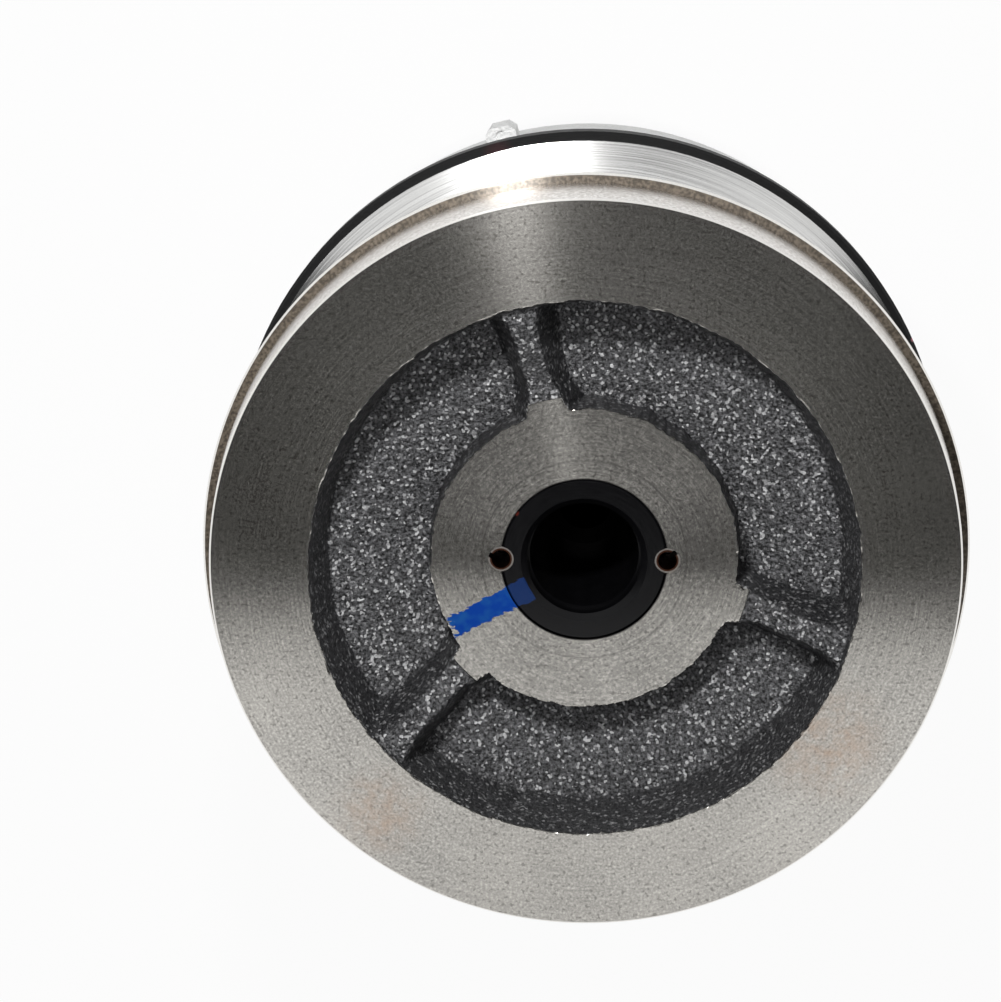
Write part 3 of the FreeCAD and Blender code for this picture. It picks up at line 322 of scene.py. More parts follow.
def grey_iron():
    """Grey cast iron, sand cast and faced on a lathe: charcoal skin with painted glints and painted shade
    in the recess, dull silver faces, and a rim painted near white as a painted highlight over a brown
    shoulder.
    The tool's rings spread the light across them, so the faces shine towards the lamps and stay dark at
    either side. Real tool rings and grains are too fine to show, so the rings are drawn 0.5 mm apart and
    the grains 0.7 mm across."""
    material, tree, shader = new_material("cast_iron_faced_and_as_cast", Anisotropic=0.9,
                                          Anisotropic_Rotation=0.25)
    place = millimetres(tree)
    radius = radius_from_axis(tree, place)
    height = node(tree, "ShaderNodeSeparateXYZ", {0: place}, "Z")
    cut = node(tree, "ShaderNodeAttribute", output="Fac", attribute_name="cut")
    faced = node(tree, "ShaderNodeMapRange", {0: cut, 1: -0.02, 2: 0.05})
    rim = node(tree, "ShaderNodeMath", {0: radius, 1: RING_RADIUS - RING_EDGE + 0.03},
               operation="GREATER_THAN")
    marks = turned_marks(tree, place, 0.5, 10)
    blotch = node(tree, "ShaderNodeTexNoise", {"Vector": place, "Scale": 0.35, "Detail": 4.0}, "Fac")

    skin = as_cast_iron(tree, place)
    silver = faced_iron(tree, place, radius, cut, marks, blotch)
    outside, browned = rim_iron(tree, place, radius, height)
    base = node(tree, "ShaderNodeMix", {"Factor": faced, 6: skin, 7: silver}, 2, data_type="RGBA")
    base = node(tree, "ShaderNodeMix", {"Factor": rim, 6: base, 7: outside}, 2, data_type="RGBA")
    paint = node(tree, "ShaderNodeMath", {0: stripe(tree, place, height), 1: faced}, operation="MULTIPLY")
    blue = layered(tree, colour("#0c3c94"), [(blotch, 0.42, 0.68, 0.0, 1.0, "#1a5096")])
    base = node(tree, "ShaderNodeMix", {"Factor": paint, 6: base, 7: blue}, 2, data_type="RGBA")

    bare = node(tree, "ShaderNodeMath", {0: faced, 1: rim}, operation="MAXIMUM")
    bare = node(tree, "ShaderNodeMath", {0: bare, 1: browned}, operation="SUBTRACT")
    bare = node(tree, "ShaderNodeMapRange", {0: bare, 1: 0.0, 2: 1.0, 3: 0.3, 4: 1.0})
    unpainted = node(tree, "ShaderNodeMapRange", {0: paint, 1: 0.0, 2: 1.0, 3: 1.0, 4: 0.0})
    metallic = node(tree, "ShaderNodeMath", {0: bare, 1: unpainted}, operation="MULTIPLY")
    tree.links.new(metallic, shader.inputs["Metallic"])
    specular = node(tree, "ShaderNodeMapRange", {0: paint, 1: 0.0, 2: 1.0, 3: 0.5, 4: 0.1})
    tree.links.new(specular, shader.inputs["Specular IOR Level"])

    rough = node(tree, "ShaderNodeMix", {"Factor": faced, 2: 0.38, 3: 0.21}, data_type="FLOAT")
    rough = node(tree, "ShaderNodeMix", {"Factor": paint, 2: rough, 3: 0.75}, data_type="FLOAT")
    lumps = node(tree, "ShaderNodeTexNoise", {"Vector": place, "Scale": 1.25, "Detail": 3.0,
                                              "Roughness": 0.55}, "Fac")
    lumps = node(tree, "ShaderNodeMapRange", {0: lumps, 1: 0.2, 2: 0.8, 3: 0.0, 4: 0.5})
    rings = node(tree, "ShaderNodeMapRange", {0: marks, 1: 0.35, 2: 0.65, 3: 0.0, 4: 0.006})
    relief = node(tree, "ShaderNodeMix", {"Factor": faced, 2: lumps, 3: rings}, data_type="FLOAT")
    surface(tree, shader, base, rough, relief)
    tangent = node(tree, "ShaderNodeTangent", direction_type="RADIAL", axis="Z")
    tree.links.new(tangent, shader.inputs["Tangent"])
    return material


def black_oxide_steel():
    """Turned steel with a hot black oxide finish: nearly black, smooth and a little oily, with faint
    rings, the end of the paint stripe and one red fleck."""
    material, tree, shader = new_material("steel_black_oxide", Metallic=0.0, IOR=1.45,
                                          Specular_IOR_Level=0.2)
    place = millimetres(tree)
    height = node(tree, "ShaderNodeSeparateXYZ", {0: place}, "Z")
    marks = turned_marks(tree, place, 0.3, 15)
    base = layered(tree, colour("#060607"), [
        (marks, *WHOLE, "#0f0f11"),
        (patch(tree, place, *POST_FLECK), 0.2, 0.7, 0.0, 0.7, "#6d2a22"),
        (stripe(tree, place, height), *WHOLE, "#0e2a5a"),
    ])
    rough = node(tree, "ShaderNodeMapRange", {0: marks, 1: 0.2, 2: 0.8, 3: 0.14, 4: 0.24})
    rings = node(tree, "ShaderNodeMapRange", {0: marks, 1: 0.2, 2: 0.8, 3: 0.0, 4: 0.004})
    surface(tree, shader, base, rough, rings)
    return material


def turned_aluminium():
    """Die-cast aluminium with a turned belt face: satin silver with fine rings, and a paler grainy
    back. The rings are drawn 0.4 mm apart, coarser than real ones, so that they show."""
    material, tree, shader = new_material("aluminium_turned_and_cast", Metallic=1.0, Anisotropic=0.3,
                                          Anisotropic_Rotation=0.25)
    place = millimetres(tree)
    radius = radius_from_axis(tree, place)
    height = node(tree, "ShaderNodeSeparateXYZ", {0: place}, "Z")
    marks = turned_marks(tree, place, 0.4, 30)
    slope = node(tree, "ShaderNodeMath", {0: radius, 1: FACE_SLOPE, 2: height}, operation="MULTIPLY_ADD")
    face_level = MOVING_RIM + SHEAVE_RADIUS * FACE_SLOPE
    turned = node(tree, "ShaderNodeMapRange", {0: slope, 1: face_level - 0.9, 2: face_level - 0.6})
    cloud = node(tree, "ShaderNodeTexNoise", {"Vector": place, "Scale": 0.05, "Detail": 3.0}, "Fac")
    grains = node(tree, "ShaderNodeTexNoise", {"Vector": place, "Scale": 0.8, "Detail": 3.0}, "Fac")
    bright = layered(tree, colour("#adadac"), [
        (marks, 0.35, 0.65, 0.0, 1.0, "#d2d2d1"),
        (cloud, 0.4, 0.75, 0.0, 0.4, "#b4b3b1"),
    ])
    dull = layered(tree, colour("#9fa0a1"), [(grains, *WHOLE, "#bcbdbd")])
    base = node(tree, "ShaderNodeMix", {"Factor": turned, 6: dull, 7: bright}, 2, data_type="RGBA")
    rough = node(tree, "ShaderNodeMix", {"Factor": turned, 2: 0.5, 3: 0.17}, data_type="FLOAT")
    lumps = node(tree, "ShaderNodeMapRange", {0: grains, 1: 0.2, 2: 0.8, 3: 0.0, 4: 0.08})
    rings = node(tree, "ShaderNodeMapRange", {0: marks, 1: 0.2, 2: 0.8, 3: 0.0, 4: 0.008})
    relief = node(tree, "ShaderNodeMix", {"Factor": turned, 2: lumps, 3: rings}, data_type="FLOAT")
    surface(tree, shader, base, rough, relief)
    tangent = node(tree, "ShaderNodeTangent", direction_type="RADIAL", axis="Z")
    tree.links.new(tangent, shader.inputs["Tangent"])
    return material


def blasted_aluminium():
    """Die-cast aluminium, shot blasted and dulled by its oxide: pale, matt, finely pitted, and greyer in
    broad clouds."""
    material, tree, shader = new_material("aluminium_die_cast_blasted", Metallic=0.25)
    place = millimetres(tree)
    pits = node(tree, "ShaderNodeTexNoise", {"Vector": place, "Scale": 1.4, "Detail": 3.0}, "Fac")
    cloud = node(tree, "ShaderNodeTexNoise", {"Vector": place, "Scale": 0.06, "Detail": 4.0}, "Fac")
    base = layered(tree, colour("#dcdddc"), [
        (pits, 0.3, 0.7, 0.0, 1.0, "#f2f2f1"),
        (cloud, 0.4, 0.75, 0.0, 0.4, "#b9baba"),
    ])
    rough = node(tree, "ShaderNodeMapRange", {0: pits, 1: 0.3, 2: 0.7, 3: 0.58, 4: 0.46})
    relief = node(tree, "ShaderNodeMapRange", {0: pits, 1: 0.2, 2: 0.8, 3: 0.0, 4: 0.1})
    surface(tree, shader, base, rough, relief)
    return material


def black_rubber():
    """Moulded black rubber: soft low gloss, with dust in its grain and two small red marks."""
    material, tree, shader = new_material("rubber_black_moulded", IOR=1.42, Specular_IOR_Level=0.35)
    place = millimetres(tree)
    grains = node(tree, "ShaderNodeTexNoise", {"Vector": place, "Scale": 0.9, "Detail": 4.0}, "Fac")
    base = layered(tree, colour("#080809"), [
        (grains, 0.3, 0.75, 0.0, 1.0, "#111112"),
        (patch(tree, place, *DUST_RING_BLUSH), 0.0, 1.0, 0.0, 0.5, "#4a2228"),
        (patch(tree, place, *DUST_RING_MARK), 0.25, 0.6, 0.0, 0.85, "#c98a92"),
    ])
    rough = node(tree, "ShaderNodeMapRange", {0: grains, 1: 0.3, 2: 0.75, 3: 0.52, 4: 0.68})
    relief = node(tree, "ShaderNodeMapRange", {0: grains, 1: 0.2, 2: 0.8, 3: 0.0, 4: 0.05})
    surface(tree, shader, base, rough, relief)
    return material


def metal(name, dark, light, grain, roughness, relief, metallic=1.0, **constants):
    """A plain worked metal or plastic: two shades of one colour in a grain of a real size, with the
    height of its relief, both in millimetres."""
    material, tree, shader = new_material(name, Metallic=metallic, **constants)
    place = millimetres(tree)
    pattern = node(tree, "ShaderNodeTexNoise", {"Vector": place, "Scale": 1 / grain, "Detail": 3.0}, "Fac")
    base = layered(tree, colour(dark), [(pattern, 0.3, 0.7, 0.0, 1.0, light)])
    rough = node(tree, "ShaderNodeMapRange", {0: pattern, 1: 0.3, 2: 0.7,
                                              3: roughness + 0.06, 4: roughness - 0.04})
    lumps = node(tree, "ShaderNodeMapRange", {0: pattern, 1: 0.2, 2: 0.8, 3: 0.0, 4: relief})
    surface(tree, shader, base, rough, lumps)
    return material


def spring_pin_steel():
    """Rolled spring steel: grey on its cut end, and inside its hollow painted dark brown as painted shade.
    """
    material, tree, shader = new_material("steel_spring_pin", Metallic=1.0)
    place = millimetres(tree)
    flat = node(tree, "ShaderNodeVectorMath", {0: place, 1: (1, 1, 0)}, operation="MULTIPLY")
    folded = node(tree, "ShaderNodeVectorMath", {0: flat}, operation="ABSOLUTE")
    away = node(tree, "ShaderNodeVectorMath", {0: folded, 1: (BORE_RADIUS, 0, 0)}, "Value",
                operation="DISTANCE")
    wall = node(tree, "ShaderNodeMapRange", {0: away, 1: PIN_RADIUS - 0.5, 2: PIN_RADIUS - 0.35})
    spots = node(tree, "ShaderNodeTexNoise", {"Vector": place, "Scale": 1.5, "Detail": 3.0}, "Fac")
    # painted shade: the inside of the hollow pin is painted dark brown
    inside = layered(tree, colour("#1d120f"), [(spots, *WHOLE, "#543527")])
    outside = layered(tree, colour("#6f6b67"), [(spots, *WHOLE, "#9a9590")])
    base = node(tree, "ShaderNodeMix", {"Factor": wall, 6: inside, 7: outside}, 2, data_type="RGBA")
    rough = node(tree, "ShaderNodeMapRange", {0: spots, 1: 0.3, 2: 0.7, 3: 0.42, 4: 0.3})
    tree.links.new(base, shader.inputs["Base Color"])
    tree.links.new(rough, shader.inputs["Roughness"])
    return material


IRON = grey_iron()
BLACK_STEEL = black_oxide_steel()
TURNED_ALUMINIUM = turned_aluminium()
BLASTED_ALUMINIUM = blasted_aluminium()
RUBBER = black_rubber()
PIN_STEEL = spring_pin_steel()
# Ground and hardened bearing steel: bright and close grained.
BEARING_STEEL = metal("steel_bearing_ground", "#a9a9ab", "#c6c6c7", 0.8, 0.2, 0.004)
# Hardened washers, tumbled: a little darker and softer in gloss.
WASHER_STEEL = metal("steel_hardened_tumbled", "#77777a", "#98989a", 1.2, 0.32, 0.01)
# Phosphated spring steel: charcoal and matt.
PHOSPHATE_STEEL = metal("steel_phosphated", "#36373a", "#4c4d50", 0.7, 0.5, 0.03)
# Forged and shot-blasted steel of the spider: mid grey, rough and even.
FORGED_STEEL = metal("steel_forged_blasted", "#5b5b5d", "#7d7d7f", 1.1, 0.46, 0.06)
# Zinc-plated screws and weights: cool silver with a blue cast.
ZINC_STEEL = metal("steel_zinc_plated", "#a8adb3", "#c9cdd1", 1.5, 0.28, 0.01)
# Sintered bronze of the sliding bushings: warm brown gold, dull with oil.
BRONZE = metal("bronze_sintered", "#8a6a3c", "#a98852", 0.5, 0.4, 0.02)
# Natural nylon of the drive buttons: off-white, softly waxy.
NYLON = metal("nylon_natural", "#d9d3c2", "#e7e2d4", 2.0, 0.42, 0.01, metallic=0.0, IOR=1.53)
# Oil-tempered spring wire: blue black with a soft sheen.
SPRING_STEEL = metal("steel_spring_oil_tempered", "#2b2d33", "#44474e", 0.9, 0.35, 0.01)

FINISHES = {
    "fixed_sheave": IRON,
    "post": BLACK_STEEL,
    "roll_pins": PIN_STEEL,
    "thrust_washer_upper": WASHER_STEEL,
    "thrust_washer_lower": WASHER_STEEL,
    "idle_inner_ring": BEARING_STEEL,
    "idle_outer_ring": BEARING_STEEL,
    "idle_needles": BEARING_STEEL,
    "snap_ring": PHOSPHATE_STEEL,
    "movable_sheave": TURNED_ALUMINIUM,
    "movable_bushing": BRONZE,
    "dust_ring": RUBBER,
    "cover": BLASTED_ALUMINIUM,
    "cover_bushing": BRONZE,
    "cover_screws": ZINC_STEEL,
    "spider": FORGED_STEEL,
    "spider_nut": PHOSPHATE_STEEL,
    "roller_1": BEARING_STEEL,
    "roller_2": BEARING_STEEL,
    "roller_3": BEARING_STEEL,
    "roller_pins": BEARING_STEEL,
    "drive_buttons": NYLON,
    "flyweight_1": ZINC_STEEL,
    "flyweight_2": ZINC_STEEL,
    "flyweight_3": ZINC_STEEL,
    "pivot_pins": BEARING_STEEL,
    "spring": SPRING_STEEL,
    "spring_washer": WASHER_STEEL,
}
for name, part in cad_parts.items():
    part.data.materials.clear()
    part.data.materials.append(FINISHES[name])


def placed(name, mesh):
    """An object at the origin that holds a mesh."""
    piece = bpy.data.objects.new(name, mesh)
    bpy.context.scene.collection.objects.link(piece)
    return piece


# Fixed sheave: the turned form of the CAD solid, with the casting's rough skin worked into its recess.
# Its walls are steeper than the solid's, as the photograph's shadows ask for.
SEGMENTS = 576
SHEAVE_CREASE = math.radians(32)
CUT_LIMIT = 1.0
FLAT_HUB = 34.0
FLAT_RING = 68.8
# Runs of rings over the raw casting: start and end radius and number, close together at the two cuts.
CAST_RUNS = [(FLAT_HUB, 36.5, 2), (36.5, 42, 27), (42, 60, 36), (60, FLAT_RING, 44)]
SIDE_ROUGHNESS = 0.07
SIDE_LUMP = 0.9
BELT_EDGE_STEP = 0.3

# Noise on the casting in millimetres: how far each layer moves the skin, and the size of its lumps.
EDGE_WANDER = [(0.5, 4.5), (0.4, 1.3)]
SKIN_LUMPS = [(0.13, 1.9), (0.08, 0.85)]

HUB_WALL_FACTOR = 4
RIM_WALL_FACTOR = 2.2
WALL_FILLET = 4.0
RIB_FOOT_FILLET = 3.2
RIB_TOP_FILLET = 3.0
RIB_STEEPNESS = 3.4
RIB_WANDER = 0.8
RIB_SPREAD = 16
# Height of a rib and half its width, from the hub to the ring.
RIB_TOPS = [(EAR_REACH, 157.4), (45.5, 157.7), (63.1, 167.2), (68.1, 168.4)]
RIB_HALVES = [(38.0, 5.4), (EAR_REACH, 4.4), (45.5, 3.2), (62.0, 3.3), (68.1, 6.0)]


def floor_height(radius):
    """Height of the recess floor, which runs along with the belt face under it."""
    return FIXED_RIM - (SHEAVE_RADIUS - radius) * FACE_SLOPE + WEB


HUB_STEEPNESS = (HUB_FACE - floor_height(HUB_FOOT)) / (HUB_FOOT - HUB_RADIUS) * HUB_WALL_FACTOR
RIM_STEEPNESS = (RING_FACE - floor_height(RECESS_FOOT)) / (RECESS_RADIUS - RECESS_FOOT) * RIM_WALL_FACTOR


def smooth_max(first, second, width):
    """The higher of two heights, run together over a width as a cast fillet is."""
    near = max(0.0, 1 - abs(first - second) / width)
    return max(first, second) + width * near * near / 4


def between(value, stops):
    """A height or width read from straight runs between stops."""
    for (low, start), (high, end) in zip(stops, stops[1:]):
        if value <= high:
            share = max(0.0, (value - low) / (high - low))
            return start + (end - start) * share
    return stops[-1][1]


def roughened(height, place, layers):
    """A height or a distance with layers of noise added to it."""
    for move, lump in layers:
        height += move * noise.noise(place / lump)
    return height


def cast_height(radius, angle):
    """Height of the raw casting in the recess, before the lathe takes the hub and the ring down."""
    place = Vector((radius * math.cos(angle), radius * math.sin(angle), 0))
    wander = roughened(0.0, place, EDGE_WANDER)
    shifted = radius + wander
    height = floor_height(radius)
    height = smooth_max(height, HUB_FACE + (HUB_RADIUS - shifted) * HUB_STEEPNESS, WALL_FILLET)
    height = smooth_max(height, RING_FACE + (shifted - RECESS_RADIUS) * RIM_STEEPNESS, WALL_FILLET)
    for rib in RIB_ANGLES:
        reach = radius * math.cos(angle - rib)
        aside = abs(radius * math.sin(angle - rib)) + RIB_WANDER * wander
        if reach > 0 and aside < RIB_SPREAD:
            past_top = (aside - between(reach, RIB_HALVES)) * RIB_STEEPNESS
            drop = smooth_max(0.0, past_top, RIB_TOP_FILLET)
            height = smooth_max(height, between(reach, RIB_TOPS) - drop, RIB_FOOT_FILLET)
    return roughened(height, place, SKIN_LUMPS)


def faced_height(radius, height):
    """Height after the two facing cuts, and how much metal the cut took off there."""
    if EAR_REACH < radius < RECESS_FOOT:
        return height, -CUT_LIMIT
    plane = HUB_FACE if radius <= EAR_REACH else RING_FACE
    depth = max(-CUT_LIMIT, min(CUT_LIMIT, height - plane))
    return min(height, plane), depth


def steps(start, end, count):
    """Even steps from a start up to an end that is left out."""
    return [start + (end - start) * index / count for index in range(count)]


def bore_edge(angle):
    """Radius of the hub's bore, which opens where the two spring pins sit."""
    aside = abs(BORE_RADIUS * math.sin(angle))
    if aside >= PIN_RADIUS:
        return BORE_RADIUS
    reach = BORE_RADIUS * abs(math.cos(angle)) + math.sqrt(PIN_RADIUS ** 2 - aside ** 2)
    return max(BORE_RADIUS, reach)


def iron_rings():
    """Each ring of the sheave's skin as a rule that gives radius, height and cut at an angle. They run
    from the bore over the hub, the recess, the ring and the rim, and back along the belt face."""
    def fixed(radius, height):
        return lambda angle: (radius, height, CUT_LIMIT)

    def rough(radius, height):
        def rule(angle):
            place = Vector((radius * math.cos(angle), radius * math.sin(angle), height))
            return radius + SIDE_ROUGHNESS * noise.noise(place / SIDE_LUMP), height, CUT_LIMIT
        return rule

    def cast(radius):
        def rule(angle):
            height, depth = faced_height(radius, cast_height(radius, angle))
            return radius, height, depth
        return rule

    def hub(share):
        def rule(angle):
            edge = bore_edge(angle)
            return edge + (FLAT_HUB - edge) * share, HUB_FACE, CUT_LIMIT
        return rule

    ring_end = RING_RADIUS - RING_EDGE
    side_top = RING_FACE - RING_EDGE
    side_run = SHOULDER_RADIUS - RING_RADIUS
    side_fall = side_top - SHOULDER_HEIGHT
    rings = [fixed(BORE_RADIUS, GROOVE_TOP), fixed(BORE_RADIUS, PIN_FLOOR)]
    rings += [lambda angle: (bore_edge(angle), PIN_FLOOR, CUT_LIMIT)]
    rings += [hub(share) for share in steps(0, 1, 5)]
    rings += [cast(radius) for run in CAST_RUNS for radius in steps(*run)]
    rings += [fixed(radius, RING_FACE) for radius in steps(FLAT_RING, ring_end, 5)]
    rings += [fixed(ring_end, RING_FACE), fixed(RING_RADIUS, side_top)]
    rings += [rough(RING_RADIUS + side_run * share, side_top - side_fall * share)
              for share in steps(0.05, 1.0, 14)]
    rings += [fixed(SHOULDER_RADIUS, SHOULDER_HEIGHT),
              fixed(SHEAVE_RADIUS - RIM_BEVEL, FIXED_RIM + (RIM_LIP + RIM_BEVEL)),
              fixed(SHEAVE_RADIUS, FIXED_RIM + RIM_LIP),
              fixed(SHEAVE_RADIUS, FIXED_RIM)]
    rings += [fixed(radius, FIXED_RIM - (SHEAVE_RADIUS - radius) * FACE_SLOPE)
              for radius in steps(SHEAVE_RADIUS - BELT_EDGE_STEP, GROOVE_RADIUS, 8)]
    rings += [fixed(GROOVE_RADIUS, GROOVE_TOP)]
    return rings


def iron_sheave():
    """The fixed sheave as one closed skin, which holds the depth of the facing cut for its material."""
    rules = iron_rings()
    points, cuts, faces = [], [], []
    for rule in rules:
        for index in range(SEGMENTS):
            angle = 2 * math.pi * index / SEGMENTS
            radius, height, cut = rule(angle)
            points.append((radius * math.cos(angle) * MM, radius * math.sin(angle) * MM, height * MM))
            cuts.append(cut)
    for ring in range(len(rules)):
        here = ring * SEGMENTS
        there = (ring + 1) % len(rules) * SEGMENTS
        for index in range(SEGMENTS):
            after = (index + 1) % SEGMENTS
            faces.append((here + index, there + index, there + after, here + after))
    mesh = bpy.data.meshes.new("iron_sheave")
    mesh.from_pydata(points, [], faces)
    mesh.attributes.new("cut", "FLOAT", "POINT").data.foreach_set("value", cuts)
    mesh.materials.append(IRON)
    mesh.shade_smooth()
    mesh.set_sharp_from_angle(angle=SHEAVE_CREASE)
    return placed("iron_sheave", mesh)


sheave = iron_sheave()
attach(sheave, "fixed_half")
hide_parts("fixed_sheave")


# Pieces that repeat or follow a path are grown by Geometry Nodes.
COIL_SEGMENTS = 48
WIRE_SIDES = 18
HEAD_SIDES = 48
SOCKET_SIDES = 6
SHANK_SIDES = 32
SHANK_MIDDLE = 0.49
SCREW_CREASE = math.radians(30)


def sizes_tree(name, sizes):
    """A Geometry Nodes tree with a named input for each size in metres or count, and its end nodes."""
    tree = bpy.data.node_groups.new(name, "GeometryNodeTree")
    tree.interface.new_socket("Geometry", in_out="INPUT", socket_type="NodeSocketGeometry")
    for label in sizes:
        tree.interface.new_socket(label, in_out="INPUT", socket_type="NodeSocketFloat")
    tree.interface.new_socket("Geometry", in_out="OUTPUT", socket_type="NodeSocketGeometry")
    return tree, tree.nodes.new("NodeGroupInput"), tree.nodes.new("NodeGroupOutput")


def grown(name, tree, sizes, points=((0, 0, 0),), bevel=0.0):
    """The piece that a tree grows on points, with its sizes set by each socket's identifier."""
    mesh = bpy.data.meshes.new(name + "_points")
    mesh.from_pydata(points, [], [])
    carrier = placed(name + "_points", mesh)
    modifier = carrier.modifiers.new("grow", "NODES")
    modifier.node_group = tree
    for item in tree.interface.items_tree:
        if item.in_out == "INPUT" and item.name in sizes:
            modifier[item.identifier] = float(sizes[item.name])
    if bevel:
        edges = carrier.modifiers.new("edges", "BEVEL")
        edges.width = bevel
        edges.segments = 2
        edges.limit_method = "ANGLE"
    graph = bpy.context.evaluated_depsgraph_get()
    result = bpy.data.meshes.new_from_object(carrier.evaluated_get(graph))
    carrier.modifiers.clear()
    bpy.data.objects.remove(carrier)
    result.name = name
    return placed(name, result)


def spring_tree(sizes):
    """A round wire wound in an even coil about the axis."""
    tree, given, made = sizes_tree("coil_spring", sizes)
    size = given.outputs
    path = node(tree, "GeometryNodeCurveSpiral", {
        "Resolution": COIL_SEGMENTS, "Rotations": size["Turns"], "Start Radius": size["Coil Radius"],
        "End Radius": size["Coil Radius"], "Height": size["Rise"], "Reverse": True})
    lift = node(tree, "ShaderNodeCombineXYZ", {"Z": size["Base"]})
    path = node(tree, "GeometryNodeSetPosition", {"Geometry": path, "Offset": lift})
    wire = node(tree, "GeometryNodeCurvePrimitiveCircle", {"Resolution": WIRE_SIDES,
                                                           "Radius": size["Wire Radius"]})
    coil = node(tree, "GeometryNodeCurveToMesh", {"Curve": path, "Profile Curve": wire, "Fill Caps": True})
    coil = node(tree, "GeometryNodeSetShadeSmooth", {"Geometry": coil})
    coil = node(tree, "GeometryNodeRealizeInstances", {"Geometry": coil})
    coil = node(tree, "GeometryNodeSetMaterial", {"Geometry": coil, "Material": SPRING_STEEL})
    tree.links.new(coil, made.inputs[0])
    return tree


def screw_tree(sizes):
    """A cap screw with a hexagon socket, head down, on each point where its head bears."""
    tree, given, made = sizes_tree("cap_screw", sizes)
    size = given.outputs

    def bar(sides, radius, length, middle):
        """A bar on the axis, its middle at a height given as a share of its length."""
        mesh = node(tree, "GeometryNodeMeshCylinder", {"Vertices": sides, "Radius": radius,
                                                       "Depth": length})
        height = node(tree, "ShaderNodeMath", {0: length, 1: middle}, operation="MULTIPLY")
        lift = node(tree, "ShaderNodeCombineXYZ", {"Z": height})
        return node(tree, "GeometryNodeSetPosition", {"Geometry": mesh, "Offset": lift})

    head = bar(HEAD_SIDES, size["Head Radius"], size["Head Height"], -0.5)
    socket = bar(SOCKET_SIDES, size["Socket Radius"], size["Socket Depth"], 0.0)
    drop = node(tree, "ShaderNodeMath", {0: size["Head Height"], 1: -1.0}, operation="MULTIPLY")
    drop = node(tree, "ShaderNodeCombineXYZ", {"Z": drop})
    socket = node(tree, "GeometryNodeSetPosition", {"Geometry": socket, "Offset": drop})
    # the shank starts a hair inside the head, so that the two join
    shank = bar(SHANK_SIDES, size["Shank Radius"], size["Shank Length"], SHANK_MIDDLE)
    screw = node(tree, "GeometryNodeMeshBoolean", {"Mesh 1": head, "Mesh 2": socket}, "Mesh",
                 operation="DIFFERENCE", solver="EXACT")
    both = tree.nodes.new("GeometryNodeJoinGeometry")
    tree.links.new(screw, both.inputs[0])
    tree.links.new(shank, both.inputs[0])
    screws = node(tree, "GeometryNodeInstanceOnPoints", {"Points": size["Geometry"],
                                                         "Instance": both.outputs[0]})
    screws = node(tree, "GeometryNodeRealizeInstances", {"Geometry": screws})
    screws = node(tree, "GeometryNodeSetMaterial", {"Geometry": screws, "Material": ZINC_STEEL})
    tree.links.new(screws, made.inputs[0])
    return tree


spring_sizes = {
    "Turns": SPRING_TURNS,
    "Coil Radius": SPRING_RADIUS * MM,
    "Wire Radius": SPRING_WIRE_RADIUS * MM,
    "Base": (SPRING_BASE + SPRING_WIRE_RADIUS) * MM,
    "Rise": (ARM_BASE - SPRING_BASE - 2 * SPRING_WIRE_RADIUS) * MM,
}
return_spring = grown("return_spring", spring_tree(spring_sizes), spring_sizes)
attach(return_spring, "fixed_half")
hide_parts("spring")
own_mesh(return_spring)

screw_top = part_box("cover_screws")[1][2]
# The socket's bar is centred on the head's end, so twice its depth gives the depth of the socket.
screw_sizes = {
    "Head Radius": SCREW_HEAD_RADIUS * MM,
    "Head Height": SCREW_HEAD_HEIGHT * MM,
    "Socket Radius": SCREW_SOCKET_RADIUS * MM,
    "Socket Depth": 2 * SCREW_SOCKET_DEPTH * MM,
    "Shank Radius": SCREW_RADIUS * MM,
    "Shank Length": screw_top - SCREW_SEAT * MM,
}
screw_seats = []
for rib in RIB_ANGLES:
    for aside in (SCREW_ASIDE, -SCREW_ASIDE):
        reach = Vector((math.cos(rib), math.sin(rib), 0)) * SCREW_REACH
        across = Vector((-math.sin(rib), math.cos(rib), 0)) * aside
        screw_seats.append((reach + across + Vector((0, 0, SCREW_SEAT))) * MM)
cap_screws = grown("cap_screws", screw_tree(screw_sizes), screw_sizes, screw_seats, bevel=SCREW_BEVEL * MM)
cap_screws.data.shade_smooth()
cap_screws.data.set_sharp_from_angle(angle=SCREW_CREASE)
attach(cap_screws, "sliding_half")
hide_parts("cover_screws")


# White floor and backdrop of paper, in metres, with a plain world light and three lamps.
PAPER_SHADE = (0.9, 0.9, 0.9, 1)
PAPER_LEVEL = -0.3 * MM
PAPER_HOLE = 0.02
PAPER_REACH = 1.6
PAPER_BEND = 0.6
PAPER_TOP = 1.2
PAPER_SIDES = 64
# The paper doesn't glow inside the shaded radius, and glows almost fully from the rim outwards.
SHADED_RADIUS = 60 * MM
OPEN_GLOW = 0.95
WORLD_LIGHT = 0.03

# Each lamp: name, tilt from the axis and turn round it in degrees, distance, width and depth in metres,
# and power in watts. The small key lamp casts the shadows and the two soft boxes fill them.
LAMPS = [
    ("key_lamp", 38, 105, 0.38, 0.035, 0.035, 1.0),
    ("far_soft_box", 21, 90, 1.2, 2.4, 0.3, 2.9),
    ("near_soft_box", 25, -90, 1.1, 1.2, 0.29, 2.5),
]
LAMP_TARGET = Vector((0, 0, 0.1))


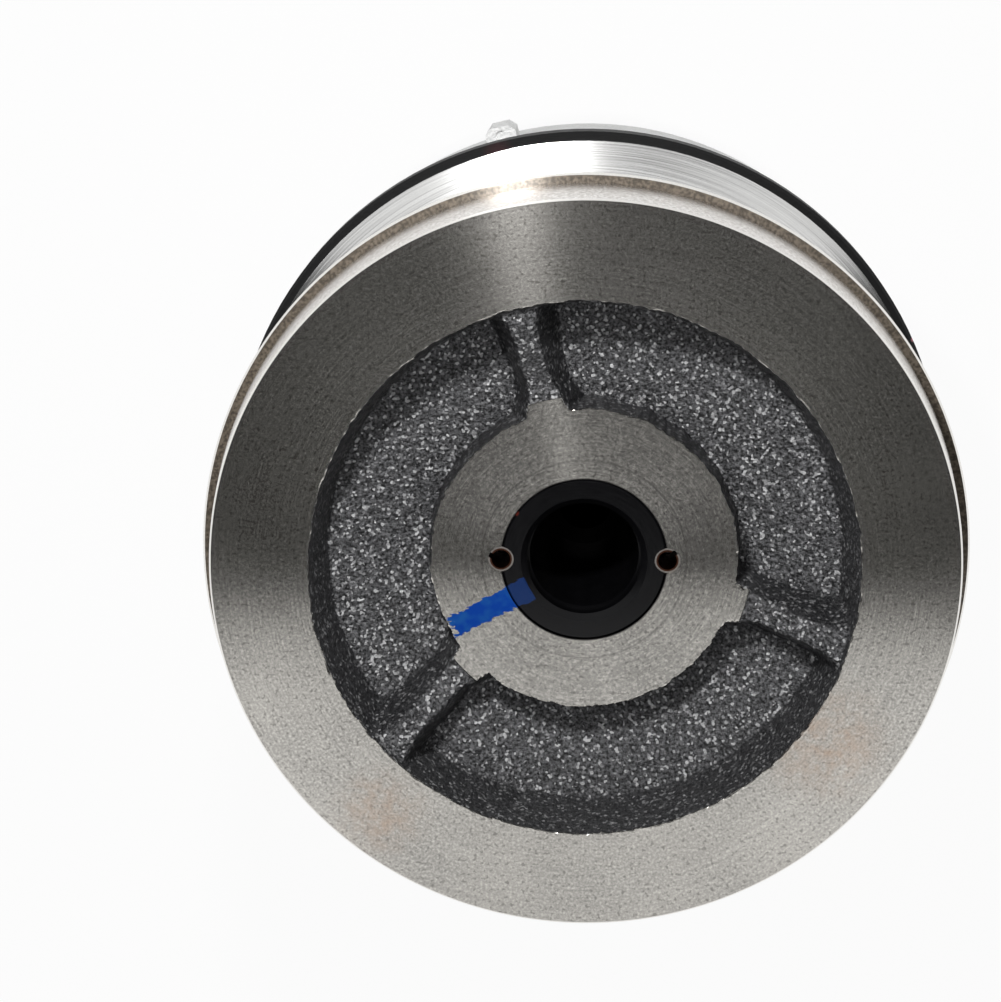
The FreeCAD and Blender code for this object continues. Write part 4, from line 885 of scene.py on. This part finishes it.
def stage_material():
    """White paper: it takes the clutch's soft shadow, and shows white to the camera and in the metal,
    but not underneath the clutch, where no light comes."""
    material = bpy.data.materials.new("white_paper")
    material.use_nodes = True
    tree = material.node_tree
    tree.nodes.clear()
    paper = node(tree, "ShaderNodeBsdfDiffuse", {"Color": PAPER_SHADE})
    glow = node(tree, "ShaderNodeEmission", {"Color": colour("#ffffff"), "Strength": 1.0})
    seen = node(tree, "ShaderNodeLightPath", output="Is Camera Ray")
    mirrored = node(tree, "ShaderNodeLightPath", output="Is Glossy Ray")
    through = node(tree, "ShaderNodeLightPath", output="Is Transmission Ray")
    either = node(tree, "ShaderNodeMath", {0: seen, 1: mirrored}, operation="MAXIMUM")
    either = node(tree, "ShaderNodeMath", {0: either, 1: through}, operation="MAXIMUM")
    spot = node(tree, "ShaderNodeNewGeometry", output="Position")
    open_floor = node(tree, "ShaderNodeMapRange", {0: radius_from_axis(tree, spot), 1: SHADED_RADIUS,
                                                   2: SHEAVE_RADIUS * MM, 3: 0.0, 4: OPEN_GLOW})
    share = node(tree, "ShaderNodeMath", {0: either, 1: open_floor}, operation="MULTIPLY")
    paper = node(tree, "ShaderNodeMixShader", {0: share, 1: paper, 2: glow})
    tree.links.new(paper, tree.nodes.new("ShaderNodeOutputMaterial").inputs["Surface"])
    return material


def backdrop():
    """A round sheet of paper that turns up far behind the clutch on every side."""
    profile = [(PAPER_HOLE, PAPER_LEVEL), (PAPER_REACH, PAPER_LEVEL)]
    for turn in (0.4, 0.8, 1.2, math.pi / 2):
        out_to = PAPER_REACH + PAPER_BEND * math.sin(turn)
        up_to = PAPER_BEND - PAPER_BEND * math.cos(turn)
        profile.append((out_to, up_to))
    profile.append((PAPER_REACH + PAPER_BEND, PAPER_TOP))
    points, faces = [], []
    for radius, height in profile:
        for index in range(PAPER_SIDES):
            angle = 2 * math.pi * index / PAPER_SIDES
            points.append((radius * math.cos(angle), radius * math.sin(angle), height))
    for ring in range(len(profile) - 1):
        here = ring * PAPER_SIDES
        there = here + PAPER_SIDES
        for index in range(PAPER_SIDES):
            after = (index + 1) % PAPER_SIDES
            faces.append((here + index, here + after, there + after, there + index))
    faces.append(tuple(reversed(range(PAPER_SIDES))))
    mesh = bpy.data.meshes.new("paper_backdrop")
    mesh.from_pydata(points, [], faces)
    mesh.shade_smooth()
    mesh.materials.append(stage_material())
    return placed("paper_backdrop", mesh)


backdrop()

world = bpy.data.worlds.new("plain_room")
bpy.context.scene.world = world
world.use_nodes = True
world.node_tree.nodes["Background"].inputs["Color"].default_value = colour("#ffffff")
world.node_tree.nodes["Background"].inputs["Strength"].default_value = WORLD_LIGHT


def soft_lamp(name, tilt, turn, distance, width, depth, power):
    """A soft box aimed at the clutch, which the camera doesn't see."""
    data = bpy.data.lights.new(name, "AREA")
    data.shape = "RECTANGLE"
    data.size = width
    data.size_y = depth
    data.energy = power
    lamp = bpy.data.objects.new(name, data)
    way = Vector((math.sin(math.radians(tilt)) * math.cos(math.radians(turn)),
                  math.sin(math.radians(tilt)) * math.sin(math.radians(turn)),
                  math.cos(math.radians(tilt))))
    lamp.location = LAMP_TARGET + way * distance
    lamp.rotation_mode = "QUATERNION"
    lamp.rotation_quaternion = (-way).to_track_quat("-Z", "Y")
    lamp.visible_camera = False
    bpy.context.scene.collection.objects.link(lamp)


for lamp in LAMPS:
    soft_lamp(*lamp)

view = bpy.context.scene.view_settings
view.view_transform = "Standard"
